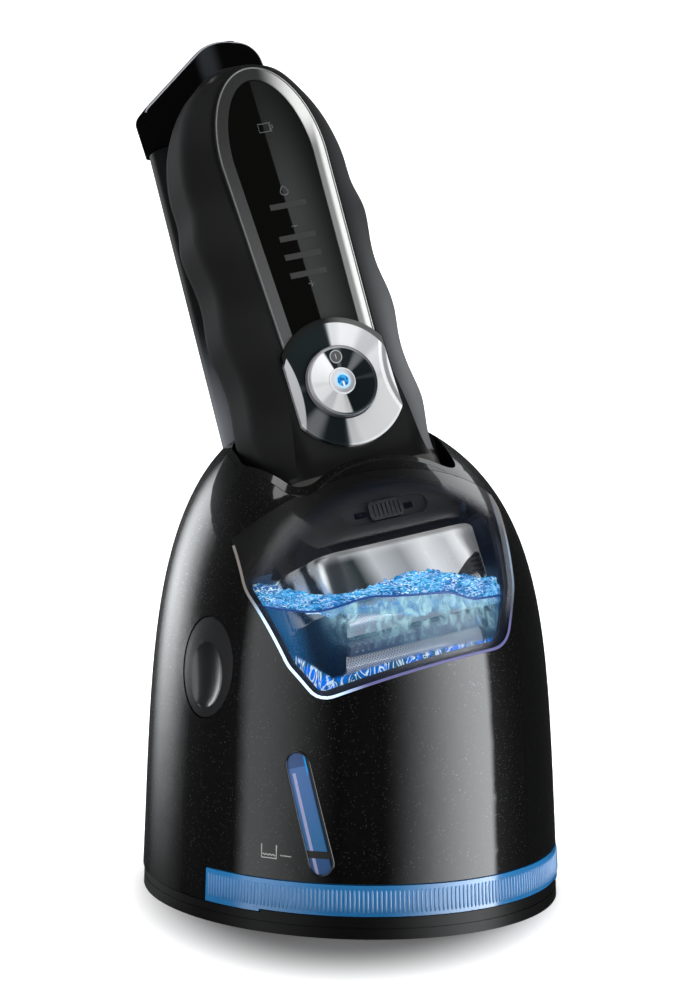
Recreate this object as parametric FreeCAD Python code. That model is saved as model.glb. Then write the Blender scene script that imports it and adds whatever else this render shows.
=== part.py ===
import FreeCAD, Part
import math
import os

V = FreeCAD.Vector
X_AXIS, Y_AXIS, Z_AXIS = V(1, 0, 0), V(0, 1, 0), V(0, 0, 1)

# Shaver cleaning station, millimetres.  +Z is up, -Y is the front, and the origin is the
# centre of the underside.  The shaver, its arm and the wash basin are drawn upright in a
# dock frame (x across, n out of the shaver's face, u towards its tail) that leans back
# and to the left.

# ---------------------------------------------------------------- dock frame
DOCK_X, DOCK_Y, DOCK_Z = -3.6, -1.4, 121.3      # where the shaver's axis meets u = 0
LEAN_BACK = 22.0
LEAN_LEFT = 8.3
TURN_LEFT = 3.0

# ---------------------------------------------------------------- clearances
GAP_FIXED = 0.1         # between parts of one body that are set into each other
GAP_MOVE = 0.35         # between parts that move past each other
GAP_SWING = 0.7         # round the pivoting shaving head

# ---------------------------------------------------------------- dome housing
DOME_HALF_X = 58.2
DOME_HALF_Y = 68.3
DOME_H = 136.5
DOME_DRAFT = 0.102      # share of the width that the side loses over the full height
DOME_SHOULDER = 4.75    # higher is squarer shoulders
DOME_ROUND = 2.31
DOME_TOP_BACK = 12.0    # how far the top's centre sits behind the base's centre
DOME_TOP_FLAT = 2.5     # the small flat cap below the full height
DOME_WALL = 2.2
DOME_SECTIONS = 14

# ---------------------------------------------------------------- base and cartridge
BASE_H = 5.3
BASE_FLOOR = 2.4
BASE_INSET = 0.4
BASE_WALL = 3.0
BASE_LINE_Z = 2.9       # thin parting line round the base's rim
BASE_LINE = 0.3
FOOT_R = 6.0
FOOT_DEPTH = 1.4
FOOT_X, FOOT_Y = 33.0, 46.5
LIP_H = 0.7             # raised lip below the front of the cartridge band
LIP_ANGLE = 47.0
BAND_TOP = 14.8
BAND_ANGLE = 66.0
BAND_WALL = 3.4
TANK_HALF_X = 51.5
TANK_BACK = 19.0
TANK_TOP = 42.0
TANK_WALL = 1.6
TANK_FLUID_TOP = 30.0
LID_H = 2.5
FILTER_R = 9.0
POST_R = 3.0
POST_X, POST_Y, POST_TOP = 31.0, 36.0, 70.0
POST_BOSS_R = 6.0
POST_BOSS_H = 3.5
SPRING_R = 4.7
SPRING_WIRE = 0.6
SPRING_TURNS = 5
SLEEVE_WALL = 2.2
SLEEVE_BOTTOM = 21.0
SCREW_R, SCREW_HEAD_R, SCREW_HEAD_H, SCREW_L = 1.5, 2.8, 1.6, 7.0

# ---------------------------------------------------------------- inside the housing
CHASSIS_GAP = 2.0       # above the cartridge's lid
CHASSIS_T = 2.5
CHASSIS_EDGE = 0.3      # between the chassis and the dome's wall
CHASSIS_BACK = 45.0
PUMP_X, PUMP_Y = 22.0, 18.0
PUMP_R, PUMP_H = 12.0, 13.0
PUMP_WALL = 1.6
MOTOR_R, MOTOR_H = 9.5, 22.0
IMPELLER_R, IMPELLER_H, IMPELLER_BLADES = 7.5, 5.0, 6
BLADE_T = 1.0
SHAFT_R = 1.2
INTAKE_Y = 11.8
INTAKE_R, INTAKE_BORE_R, INTAKE_BOTTOM = 4.0, 2.6, 11.5
DRAIN_R, DRAIN_BORE_R = 4.5, 3.2
OUTLET_X, OUTLET_Y, OUTLET_TOP, OUTLET_R, OUTLET_BORE_R = 4.0, 20.0, 88.0, 3.2, 2.0
BOARD_HALF_X, BOARD_T, BOARD_BOTTOM, BOARD_TOP = 20.0, 1.6, 16.0, 60.0
SOCKET_HALF_X, SOCKET_Z, SOCKET_HALF_Z, SOCKET_DEPTH = 8.0, 24.0, 6.0, 16.0
SOCKET_WALL = 1.6
SOCKET_PIN_R, SOCKET_PIN_X, SOCKET_PIN_L = 0.8, 4.2, 7.0

# ---------------------------------------------------------------- lift button
LIFT_ANGLE = 70.0       # round the dome from the front, to the left
LIFT_Z = 70.0
LIFT_HALF_W, LIFT_HALF_H = 11.0, 13.8
LIFT_T = 3.0
LIFT_DISH_W, LIFT_DISH_H, LIFT_DISH_DEPTH = 7.2, 9.2, 1.4
LIFT_TRAVEL = 2.5
LIFT_ROOM = 0.5          # between the wash bowl and what the button pushes
STEM_HALF_W, STEM_L, STEM_LOW, STEM_HIGH = 4.0, 7.0, 6.0, 3.0
LATCH_T = 2.0
LATCH_HALF_W = 4.5

# ---------------------------------------------------------------- level window
LEVEL_ANGLE = 33.8      # round the dome from the front, to the left
LEVEL_Z = 33.7
LEVEL_SLANT = 15.0
LEVEL_L, LEVEL_W, LEVEL_RIM = 34.5, 7.0, 0.9
LEVEL_BAR_Z, LEVEL_BAR_H = -11.0, 2.0

# ---------------------------------------------------------------- dock opening and basin
OPEN_GAP = 0.5          # between the opening and the shaving head on its way out
RIM_WALL = 1.6
RIM_BOTTOM = -13.0
HEAD_OUT_U = -60.0       # the shaving head's way out is clear from here up
BASIN_WALL = 1.5
BASIN_WIDE_U, BASIN_WIDE_L, BASIN_WIDE_R, BASIN_WIDE_BACK = -24.0, -44.0, 40.0, -21.0
BASIN_LOW_U, BASIN_LOW_L, BASIN_LOW_R, BASIN_LOW_BACK = -68.5, -40.0, 32.0, -16.0
BASIN_FRONT = 48.0      # beyond the housing, so that the front follows the housing's wall
BASIN_SHOULDER = 7.0    # height of the basin's widest part
BASIN_R = 12.0
FLUID_Z = 88.0
FLUID_CLEAR = 3.6       # room in front of and behind the head for its swing
FLUID_SIDE, FLUID_BELOW = 0.8, 1.6
WINDOW_TOP_L, WINDOW_TOP_R = (-41.8, -15.0), (32.3, -20.0)
WINDOW_TOP_MID = (-7.0, -8.5)
WINDOW_SIDES_R = ((33.0, -25.5, 6.0), (27.0, -49.0, 16.0), (18.5, -65.3, 9.0))
WINDOW_SIDES_L = ((-37.0, -67.0, 5.0), (-41.4, -55.0, 12.0), (-44.3, -31.0, 20.0))
WINDOW_FROM_N = 1.0
WINDOW_LEDGE = 2.5      # rim of the basin's own opening behind the window pane

# ---------------------------------------------------------------- arm and cap
ARM_FRONT, ARM_BACK, ARM_SPLIT = -14.2, -25.5, -19.5
ARM_FOOT_U, ARM_FOOT_X = -12.5, 25.2
ARM_TOP_U, ARM_TOP_X = 107.0, 20.4
ARM_R = 5.0
ARM_WALL = 1.8
CAP_BACK = -26.6
CAP_OUTLINE = ((-20.6, 107.3, 0.0), (-20.9, 119.0, 3.5), (5.6, 137.3, 14.0),
               (19.8, 133.9, 8.0), (21.0, 122.0, 3.0), (20.6, 107.3, 0.0))
CAP_WALL = 1.8
CAP_EDGE, CAP_BACK_EDGE = 1.6, 3.6
START_X, START_N, START_R = 12.0, -20.4, 3.8
START_PROUD, START_L, START_FLANGE, START_TRAVEL = 0.9, 6.0, 1.0, 1.2
CONTACT_U, CONTACT_X, CONTACT_R = 62.0, 4.0, 1.1
CONTACT_L, CONTACT_TRAVEL = 6.0, 1.2
CONTACT_HALF_X, CONTACT_HALF_U = 9.0, 5.0

# ---------------------------------------------------------------- shaver handle
BODY_FRONT, BODY_BACK = 19.0, -13.5
BODY_MID_N = 3.0
BODY_END_U = 119.8
BODY_ROUND_U = 84.0     # where the tail starts to round off
BODY_TAIL_POWER = 2.0
BODY_FACE_POWER, BODY_BACK_POWER = 10, 3   # how late the tail's front and back round off
BODY_R = 11.0
BODY_WAIST_X, BODY_BULGE_X = 25.0, 26.6
BODY_TAIL_X = 24.2
BODY_BULGES = (13.0, 42.0, 70.0)
BULGE_REACH = 8.0
NECK_FRONT, NECK_BACK, NECK_X = 24.4, -12.8, 25.6
NECK_BOTTOM, NECK_TOP = -25.0, -5.0
NECK_STEPS, BODY_STEP = 4, 6.5      # spacing of the sections along the neck and the body
GRIP_T, BODY_WALL = 1.6, 1.8
GRIP_BOTTOM, GRIP_TOP, GRIP_SEAM = -3.5, 114.0, 0.4
STRIP_TOP_U, STRIP_TOP_X = 115.5, 16.3
STRIP_ARC_U = 88.0      # where the frame's straight sides meet its arched top
STRIP_WAIST_U, STRIP_WAIST_X = 32.5, 14.2
STRIP_FOOT_U, STRIP_FOOT_X, STRIP_FOOT_R = -6.0, 20.5, 30.0
STRIP_EDGE = 0.9        # black line between the bright parts and the side grips
FRAME_W, FRAME_T, FRAME_SEAT = 3.9, 2.3, 1.6
PANEL_T = 2.0
SURROUND_U, SURROUND_R, SURROUND_X = 20.2, 18.7, 15.6
SURROUND_T, SURROUND_DISH = 2.9, 0.9
BUTTON_R, BUTTON_T, BUTTON_SEAT, BUTTON_TRAVEL = 10.4, 2.4, -0.35, 0.8
BUTTON_STEM_R, BUTTON_STEM_L = 4.0, 3.0
LENS_R, LENS_T, LED_R = 3.9, 0.7, 1.9
LOCK_U, LOCK_RECESS_X, LOCK_RECESS_H = -18.6, 13.0, 6.4
LOCK_HALF_X, LOCK_H, LOCK_PROUD = 5.2, 5.2, 1.0
LOCK_DEPTH, LOCK_TRAVEL = 1.4, 6.0
BATTERY_R, BATTERY_L, BATTERY_U = 7.2, 49.0, 48.0
DRIVE_HALF_X, DRIVE_HALF_N, DRIVE_BOTTOM, DRIVE_TOP = 12.0, 7.2, -2.0, 40.0
DRIVE_R, DRIVE_PIN_R = 2.0, 2.0
SHAVER_BOARD_HALF_X, SHAVER_BOARD_T = 12.5, 1.2
BOARD_LOW_U, BOARD_HIGH_U = 4.0, 82.0
CRADLE_U = (10.0, 32.0, 56.0, 80.0)     # ribs on the board that hold the drive and battery
CRADLE_HALF_X, CRADLE_T = 6.0, 2.0

# ---------------------------------------------------------------- shaving head
PIVOT_N, PIVOT_U = 6.0, -36.0
BARREL_R, BARREL_HALF_X = 18.4, 18.6
HEAD_TOP, HEAD_BOTTOM = -27.5, -43.0
HEAD_HALF_X, HEAD_FRONT_X, HEAD_BACK_X = 29.0, 23.5, 24.5
HEAD_FRONT, HEAD_BACK = 26.2, -13.3
HEAD_WIDE_N = 4.0
HEAD_R = 7.0
SHAVE_ANGLE = 44.0      # the shaving face's normal, below the shaver's front
FOIL_TOP = (24.5, -49.4)
FOIL_PITCH, FOIL_R, FOIL_T, FOIL_HALF_X, FOIL_WALL_H = 16.0, 4.9, 0.7, 21.0, 5.0
FOIL_TRAVEL = 1.5
CUTTER_R = 3.7
TRIM_HALF_X, TRIM_W, TRIM_H, TRIM_SUNK, TRIM_PITCH = 20.4, 3.4, 4.6, 0.6, 1.9
CASSETTE_FACE = 3.2     # how far the cassette's face lies below the foils
CASSETTE_L, CASSETTE_HALF_X, CASSETTE_END_X = 24.4, 26.9, 21.4
CASSETTE_BACK = ((2.0, -60.8), (-9.0, -50.0), (-11.5, -43.3))
END_PROUD = 2.2
RELEASE_X0, RELEASE_X1, RELEASE_TOP, RELEASE_T = 10.0, 24.0, -35.0, 1.6
RELEASE_TRAVEL = 0.8

os.makedirs("parts", exist_ok=True)


# ================================================================ drawing helpers
def save(name, shape):
    """Write one sub-part, and stop if it is not made of closed solids."""
    if not shape.Solids or not shape.isValid():
        raise ValueError(name + " is not a valid solid")
    keep = shape.Solids[0] if len(shape.Solids) == 1 else Part.makeCompound(shape.Solids)
    keep.exportStep("parts/" + name + ".step")
    print("%-22s %d solids %9.0f mm3" % (name, len(keep.Solids), keep.Volume))


def rounded_wire(corners, to_point):
    """Closed wire through corners (a, b, radius), as lines joined by tangent arcs."""
    count = len(corners)
    starts, ends, mids = [], [], []
    for i in range(count):
        a, b, radius = corners[i]
        here = V(a, b, 0)
        back = (V(corners[i - 1][0], corners[i - 1][1], 0) - here).normalize()
        ahead = V(*corners[(i + 1) % count][:2], 0) - here
        ahead.normalize()
        half = back.getAngle(ahead) / 2
        reach = radius / math.tan(half)
        starts.append(here + back * reach)
        ends.append(here + ahead * reach)
        middle = (back + ahead).normalize()
        mids.append(here + middle * (radius / math.sin(half) - radius))
    edges = []
    for i in range(count):
        if corners[i][2] > 0:
            arc = [to_point(p.x, p.y) for p in (starts[i], mids[i], ends[i])]
            edges.append(Part.Arc(*arc).toShape())
        begin, finish = ends[i], starts[(i + 1) % count]
        if begin.distanceToPoint(finish) > 1e-6:
            side = [to_point(p.x, p.y) for p in (begin, finish)]
            edges.append(Part.LineSegment(*side).toShape())
    return Part.Wire(edges)


def rect_corners(a0, a1, b0, b1, radius):
    return [(a0, b0, radius), (a1, b0, radius), (a1, b1, radius), (a0, b1, radius)]


def plan_wire(x0, x1, n0, n1, radius, u):
    """Rounded rectangle across the dock axis, at height u."""
    return rounded_wire(rect_corners(x0, x1, -n1, -n0, radius), lambda a, b: V(a, b, u))


def plan_prism(x0, x1, n0, n1, radius, u0, u1):
    face = Part.Face(plan_wire(x0, x1, n0, n1, radius, u0))
    return face.extrude(V(0, 0, u1 - u0))


def front_prism(corners, n0, n1):
    """Outline in (x, u) as seen from the shaver's front, from n0 to n1."""
    face = Part.Face(rounded_wire(corners, lambda a, b: V(a, -n0, b)))
    return face.extrude(V(0, n0 - n1, 0))


def side_prism(corners, x0, x1):
    """Outline in (n, u) as seen from the shaver's side, from x0 to x1."""
    face = Part.Face(rounded_wire(corners, lambda a, b: V(x0, -a, b)))
    return face.extrude(V(x1 - x0, 0, 0))


def box(x0, x1, y0, y1, z0, z1):
    return Part.makeBox(x1 - x0, y1 - y0, z1 - z0, V(x0, y0, z0))


def dock_box(x0, x1, n0, n1, u0, u1):
    return box(x0, x1, -n1, -n0, u0, u1)


def rod(radius, length, base, axis=Z_AXIS):
    return Part.makeCylinder(radius, length, base, axis)


def tube(radius, bore, length, base, axis=Z_AXIS):
    return rod(radius, length, base, axis).cut(rod(bore, length, base, axis))


def loft(wires, ruled=False):
    return Part.makeLoft(wires, True, ruled)


def fused(shapes):
    return shapes[0].multiFuse(list(shapes[1:])).removeSplitter()


def dock_placement():
    back = FreeCAD.Rotation(X_AXIS, -LEAN_BACK)
    left = FreeCAD.Rotation(Y_AXIS, -LEAN_LEFT)
    turn = FreeCAD.Rotation(Z_AXIS, -TURN_LEFT)
    return FreeCAD.Placement(V(DOCK_X, DOCK_Y, DOCK_Z), back.multiply(left).multiply(turn))


DOCK = dock_placement()


def docked(shape):
    """Move a shape drawn in the dock frame to its leaning place."""
    placed = shape.copy()
    placed.Placement = DOCK.multiply(shape.Placement)
    return placed


def dock_point(x, n, u):
    return DOCK.multVec(V(x, -n, u))


# ================================================================ dome form
def dome_scale(z, inset):
    t = max(z, 0.0) / (DOME_H - inset)
    return (1 - DOME_DRAFT * t) * (1 - t ** DOME_SHOULDER) ** (1 / DOME_ROUND)


def dome_section(z, inset):
    k = dome_scale(z, inset)
    centre = V(0, DOME_TOP_BACK * (max(z, 0.0) / DOME_H) ** 8, z)
    major = centre + V(0, DOME_HALF_Y * k - inset, 0)
    minor = centre + V(DOME_HALF_X * k - inset, 0, 0)
    return Part.Wire(Part.Ellipse(major, minor, centre).toShape())


def dome_form(inset, bottom):
    """The dome's outer form, or one that lies inset inside it."""
    top = DOME_H - DOME_TOP_FLAT - inset
    heights = [bottom + (top - bottom) * math.sin(math.pi / 2 * i / DOME_SECTIONS)
               for i in range(DOME_SECTIONS + 1)]
    return loft([dome_section(z, inset) for z in heights])


def skirt(inset, bottom, top):
    """Straight-sided slice of the dome's plan, for the base and the cartridge."""
    return loft([dome_section(z, inset) for z in (bottom, (bottom + top) / 2, top)])


def front_sector(angle, bottom, top):
    """Wedge that spans angle to each side of the front, seen from above."""
    reach = 3 * DOME_HALF_Y
    a = math.radians(angle)
    left = V(-reach * math.sin(a), -reach * math.cos(a), bottom)
    right = V(reach * math.sin(a), -reach * math.cos(a), bottom)
    ring = [V(0, 0, bottom), left, V(0, -reach * 2, bottom), right, V(0, 0, bottom)]
    return Part.Face(Part.makePolygon(ring)).extrude(V(0, 0, top - bottom))


def wall_frame(angle, z):
    """Placement on the dome's side: local X along the wall, Y inward, Z up."""
    a = math.radians(angle)
    k = dome_scale(z, 0)
    reach = 1 / math.hypot(math.sin(a) / (DOME_HALF_X * k), math.cos(a) / (DOME_HALF_Y * k))
    point = V(-reach * math.sin(a), -reach * math.cos(a), z)
    outward = V(point.x / DOME_HALF_X ** 2, point.y / DOME_HALF_Y ** 2, 0).normalize()
    turn = FreeCAD.Rotation(V(0, -1, 0), outward)
    return FreeCAD.Placement(point, turn)


LIFT_FRAME = wall_frame(LIFT_ANGLE, LIFT_Z)
LEVEL_FRAME = wall_frame(LEVEL_ANGLE, LEVEL_Z)


def on_wall(shape, frame):
    placed = shape.copy()
    placed.Placement = frame.multiply(shape.Placement)
    return placed


def oval(half_w, half_h, y0, y1):
    """Elliptic plug along the wall frame's inward axis."""
    centre = V(0, y0, 0)
    if half_h > half_w:
        curve = Part.Ellipse(V(0, y0, half_h), V(half_w, y0, 0), centre)
    else:
        curve = Part.Ellipse(V(half_w, y0, 0), V(0, y0, half_h), centre)
    return Part.Face(Part.Wire(curve.toShape())).extrude(V(0, y1 - y0, 0))


def level_slot(width, length, y0, y1):
    """Slanted round-ended slot along the wall frame's inward axis."""
    corners = rect_corners(-width / 2, width / 2, -length / 2, length / 2, width / 2 - 1e-4)
    face = Part.Face(rounded_wire(corners, lambda a, b: V(a, y0, b)))
    slot = face.extrude(V(0, y1 - y0, 0))
    slot.rotate(V(0, 0, 0), Y_AXIS, -LEVEL_SLANT)
    return slot


# ================================================================ dock forms
def head_plan(inset):
    """The shaving head seen along the dock axis, narrower towards its face."""
    front, back, radius = HEAD_FRONT - inset, HEAD_BACK + inset, HEAD_R - inset
    wide, nose, tail = HEAD_HALF_X - inset, HEAD_FRONT_X - inset, HEAD_BACK_X - inset
    return [(-wide, -HEAD_WIDE_N, radius), (-nose, -front, radius), (nose, -front, radius),
            (wide, -HEAD_WIDE_N, radius), (tail, -back, radius), (-tail, -back, radius)]


def opening_wire(grow, u):
    """Edge of the dock opening: the shaving head's plan with room round it."""
    return rounded_wire(head_plan(-OPEN_GAP - grow), lambda a, b: V(a, b, u))


def opening_prism(grow, u0, u1):
    return Part.Face(opening_wire(grow, u0)).extrude(V(0, 0, u1 - u0))


def arm_wire(u, grow):
    share = (u - ARM_FOOT_U) / (ARM_TOP_U - ARM_FOOT_U)
    half = ARM_FOOT_X + (ARM_TOP_X - ARM_FOOT_X) * share + grow
    return plan_wire(-half, half, ARM_BACK - grow, ARM_FRONT + grow, ARM_R + grow, u)


def arm_form(grow, u0, u1):
    return loft([arm_wire(u0, grow), arm_wire(u1, grow)], True)


def window_face(grow):
    """Window outline in (x, u): a low arch on top of straight sides with round corners."""
    sides = [(x, u) for x, u, r in WINDOW_SIDES_R + WINDOW_SIDES_L]
    radii = [r for x, u, r in WINDOW_SIDES_R + WINDOW_SIDES_L]
    corners = [WINDOW_TOP_R + (0.0,)] + [s + (r,) for s, r in zip(sides, radii)]
    corners.append(WINDOW_TOP_L + (0.0,))
    lower = Part.Face(rounded_wire(corners, lambda a, b: V(a, 0, b)))
    tops = [V(x, 0, u) for x, u in (WINDOW_TOP_L, WINDOW_TOP_MID, WINDOW_TOP_R)]
    arch = Part.Face(Part.Wire([Part.Arc(*tops).toShape(),
                                Part.LineSegment(tops[2], tops[0]).toShape()]))
    wire = lower.fuse(arch).removeSplitter().Faces[0].OuterWire
    return Part.Face(wire.makeOffset2D(grow) if grow else wire)


def window_prism(grow):
    face = window_face(grow)
    face.translate(V(0, -WINDOW_FROM_N, 0))
    return docked(face.extrude(V(0, -2 * DOME_HALF_Y, 0)))


def basin_form(inset):
    """Basin's outer form, or its inside when inset is the wall."""
    throat = opening_prism(RIM_WALL - inset, BASIN_WIDE_U, RIM_BOTTOM)
    low = plan_wire(BASIN_LOW_L + inset, BASIN_LOW_R - inset, BASIN_LOW_BACK + inset,
                    BASIN_FRONT, BASIN_R - inset, BASIN_LOW_U + inset)
    wide, shoulder = [plan_wire(BASIN_WIDE_L + inset, BASIN_WIDE_R - inset,
                                BASIN_WIDE_BACK + inset, BASIN_FRONT, BASIN_R - inset, u)
                      for u in (BASIN_WIDE_U - BASIN_SHOULDER, BASIN_WIDE_U - inset)]
    bowl = loft([low, wide, shoulder], True)
    form = docked(throat.fuse(bowl))
    return form.common(dome_form(DOME_WALL + GAP_FIXED + inset, 0))


def drain_point():
    return dock_point(BASIN_LOW_L + BASIN_R * 0.75, BASIN_LOW_BACK + BASIN_R * 0.75,
                      BASIN_LOW_U)


# ================================================================ base
def make_base_plate():
    plate = skirt(BASE_INSET, 0, BASE_H)
    plate = plate.cut(skirt(BASE_INSET + BASE_WALL, BASE_FLOOR, BASE_H + 1))
    line = skirt(0, BASE_LINE_Z, BASE_LINE_Z + BASE_LINE)
    plate = plate.cut(line.cut(skirt(BASE_INSET + BASE_LINE, 0, BASE_H)))
    lip = skirt(BASE_INSET, BASE_H, BASE_H + LIP_H).cut(
        skirt(BASE_INSET + BASE_WALL, BASE_H - 1, BASE_H + 1))
    plate = plate.fuse(lip.common(front_sector(LIP_ANGLE, 0, BASE_H + 1)))
    for x in (-POST_X, POST_X):
        boss = rod(POST_BOSS_R, POST_BOSS_H, V(x, POST_Y, BASE_FLOOR))
        plate = plate.fuse(boss)
        plate = plate.cut(rod(POST_R, POST_BOSS_H, V(x, POST_Y, BASE_FLOOR)))
    for place in foot_places():
        plate = plate.cut(rod(FOOT_R, FOOT_DEPTH, place))
    for place in base_screw_places():
        plate = plate.cut(rod(SCREW_R, BASE_FLOOR, place))
        plate = plate.cut(rod(SCREW_HEAD_R, SCREW_HEAD_H, place))
    return plate.removeSplitter()


def foot_places():
    return [V(sx * FOOT_X, sy * FOOT_Y, 0) for sx in (-1, 1) for sy in (-1, 1)]


def base_screw_places():
    """Screws that come up into the guide posts."""
    return [V(sx * POST_X, POST_Y, 0) for sx in (-1, 1)]


def make_feet():
    return Part.makeCompound([rod(FOOT_R - GAP_FIXED, FOOT_DEPTH, p) for p in foot_places()])


def make_base_screws():
    screws = []
    for place in base_screw_places():
        head = rod(SCREW_HEAD_R - GAP_FIXED, SCREW_HEAD_H, place)
        slot = box(-SCREW_HEAD_R, SCREW_HEAD_R, -0.4, 0.4, -1, 0.6)
        slot.translate(place)
        shank = rod(SCREW_R - GAP_FIXED, BASE_FLOOR, place)
        screws.append(head.fuse(shank).cut(slot))
    return Part.makeCompound(screws)


def make_guide_posts():
    posts = []
    for x in (-POST_X, POST_X):
        post = rod(POST_R - GAP_FIXED, POST_TOP - BASE_FLOOR, V(x, POST_Y, BASE_FLOOR))
        top = [e for e in post.Edges if e.BoundBox.ZMin > POST_TOP - 0.01]
        posts.append(post.makeChamfer(POST_R / 4, top))
    return Part.makeCompound(posts)


def make_springs():
    bottom = BASE_FLOOR + POST_BOSS_H + SPRING_WIRE + GAP_FIXED
    height = SLEEVE_BOTTOM - GAP_MOVE - SPRING_WIRE - bottom
    coils = []
    for x in (-POST_X, POST_X):
        helix = Part.makeHelix(height / SPRING_TURNS, height, SPRING_R)
        ring = Part.Wire(Part.Circle(V(SPRING_R, 0, 0), Y_AXIS, SPRING_WIRE).toShape())
        coil = Part.Wire(helix.Edges).makePipeShell([ring], True, True)
        coil.translate(V(x, POST_Y, bottom))
        coils.append(coil)
    return Part.makeCompound(coils)


# ================================================================ cartridge
def tank_outline(inset, bottom, top):
    """The cartridge's plan inside the dome: the dome's front with a straight back."""
    form = skirt(DOME_WALL + BAND_WALL / 2 + inset, bottom, top)
    half = TANK_HALF_X - inset
    return form.common(box(-half, half, -2 * DOME_HALF_Y, TANK_BACK - inset, bottom, top))


def make_tank():
    floor = BASE_FLOOR + GAP_FIXED
    low = BASE_H + LIP_H + GAP_MOVE
    tank = tank_outline(0, low, TANK_TOP)
    foot = tank_outline(BAND_WALL, floor, low)
    band = skirt(0, low - LIP_H, BAND_TOP).cut(
        front_sector(LIP_ANGLE + 0.4, 0, low))
    band = band.common(front_sector(BAND_ANGLE, 0, BAND_TOP))
    band = band.cut(tank_outline(0, 0, low))
    tank = fused([tank, foot, band])
    step = low + TANK_WALL
    inside = tank_outline(TANK_WALL, step, TANK_TOP).fuse(
        tank_outline(BAND_WALL + TANK_WALL, floor + TANK_WALL, step + 1))
    return tank.cut(inside)


def make_lid():
    lid = tank_outline(0, TANK_TOP, TANK_TOP + LID_H)
    edges = [e for e in lid.Edges if e.BoundBox.ZMin > TANK_TOP + LID_H - 0.01]
    lid = lid.makeFillet(LID_H * 0.4, edges)
    drain = drain_point()
    lid = lid.cut(rod(FILTER_R, LID_H, V(drain.x, drain.y, TANK_TOP)))
    return lid.cut(rod(INTAKE_R + 1.0, LID_H, V(PUMP_X, INTAKE_Y, TANK_TOP)))


def make_filter():
    """Mesh basket in the lid that the used fluid runs through."""
    drain = drain_point()
    disc = rod(FILTER_R - GAP_FIXED, LID_H - 1.0, V(drain.x, drain.y, TANK_TOP))
    for k in range(-2, 3):
        slot = box(-FILTER_R * 0.6, FILTER_R * 0.6, -0.5, 0.5, 0, LID_H)
        slot.translate(V(drain.x, drain.y + k * 2.4, TANK_TOP))
        disc = disc.cut(slot)
    return disc


def make_tank_fluid():
    low = BASE_H + LIP_H + GAP_MOVE + TANK_WALL + GAP_FIXED
    fluid = tank_outline(TANK_WALL + GAP_FIXED, low, TANK_FLUID_TOP)
    pipe = rod(INTAKE_R + 1.0, TANK_TOP, V(PUMP_X, INTAKE_Y, INTAKE_BOTTOM - 1.0))
    return fluid.cut(pipe)


# ================================================================ dome and what is set in it
def make_dome():
    bottom = BASE_H + GAP_MOVE
    shell = dome_form(0, bottom).cut(dome_form(DOME_WALL, -1))
    band_top = BAND_TOP + GAP_MOVE
    shell = shell.cut(front_sector(BAND_ANGLE + 0.4, 0, band_top))
    shell = shell.cut(docked(opening_prism(RIM_WALL + GAP_FIXED, RIM_BOTTOM, 80)))
    shell = shell.cut(docked(opening_prism(0, HEAD_OUT_U, 80)))
    shell = shell.cut(docked(arm_form(GAP_FIXED, ARM_FOOT_U, ARM_TOP_U)))
    shell = shell.cut(window_prism(0))
    hole = oval(LIFT_HALF_W + GAP_MOVE, LIFT_HALF_H + GAP_MOVE, -8, 12)
    shell = shell.cut(on_wall(hole, LIFT_FRAME))
    shell = shell.cut(on_wall(level_slot(LEVEL_W, LEVEL_L, -8, 12), LEVEL_FRAME))
    shell = shell.cut(socket_box(GAP_FIXED))
    return max(shell.Solids, key=lambda s: s.Volume)


def make_chamber_window():
    pane = dome_form(0.05, 30).cut(dome_form(DOME_WALL, 20))
    pane = pane.common(window_prism(-GAP_FIXED))
    pane = pane.cut(docked(opening_prism(RIM_WALL + GAP_FIXED, HEAD_OUT_U, 80)))
    return max(pane.Solids, key=lambda s: s.Volume)


def make_opening_rim():
    rim = opening_prism(RIM_WALL, RIM_BOTTOM, 60).cut(opening_prism(0, RIM_BOTTOM, 60))
    rim = rim.cut(arm_form(GAP_FIXED, ARM_FOOT_U, ARM_TOP_U))
    rim = docked(rim).common(dome_form(0, 60))
    return max(rim.Solids, key=lambda s: s.Volume)


def make_level_window():
    pane = level_slot(LEVEL_W - 2 * GAP_FIXED, LEVEL_L - 2 * GAP_FIXED, -8, 12)
    pane = on_wall(pane, LEVEL_FRAME)
    shell = dome_form(LEVEL_RIM / 2, 2).cut(dome_form(DOME_WALL, 1))
    return pane.common(shell)


def make_level_bar():
    """Float behind the level window that shows how much fluid is left."""
    bar = box(-LEVEL_W / 2 - 1, LEVEL_W / 2 + 1, -8, 12,
              LEVEL_BAR_Z - LEVEL_BAR_H / 2, LEVEL_BAR_Z + LEVEL_BAR_H / 2)
    bar.translate(V(-LEVEL_BAR_Z * math.tan(math.radians(LEVEL_SLANT)), 0, 0))
    shell = dome_form(DOME_WALL + GAP_FIXED, 2).cut(dome_form(DOME_WALL + 1.3, 1))
    return on_wall(bar, LEVEL_FRAME).common(shell)


def make_lift_button():
    cap = oval(LIFT_HALF_W, LIFT_HALF_H, -8, 12)
    cap = on_wall(cap, LIFT_FRAME).common(
        dome_form(0.2, 30).cut(dome_form(LIFT_T, 20)))
    scale = FreeCAD.Matrix()
    ball = Part.makeSphere(1.0)
    scale.scale(LIFT_DISH_W * 1.25, LIFT_DISH_DEPTH * 2.4, LIFT_DISH_H * 1.25)
    dish = ball.transformGeometry(scale)
    dish.translate(V(0, -LIFT_DISH_DEPTH * 1.1, 0))
    cap = cap.cut(on_wall(dish, LIFT_FRAME))
    stem = box(-STEM_HALF_W, STEM_HALF_W, LIFT_T, LIFT_T + STEM_L, -STEM_LOW, STEM_HIGH)
    root = box(-STEM_HALF_W, STEM_HALF_W, LIFT_DISH_DEPTH + 1.0, LIFT_T + 1.0,
               -STEM_LOW, STEM_HIGH)
    stem = on_wall(stem.fuse(root), LIFT_FRAME)
    return biggest(cap.fuse(stem).cut(bowl_at_press()).removeSplitter())


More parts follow.
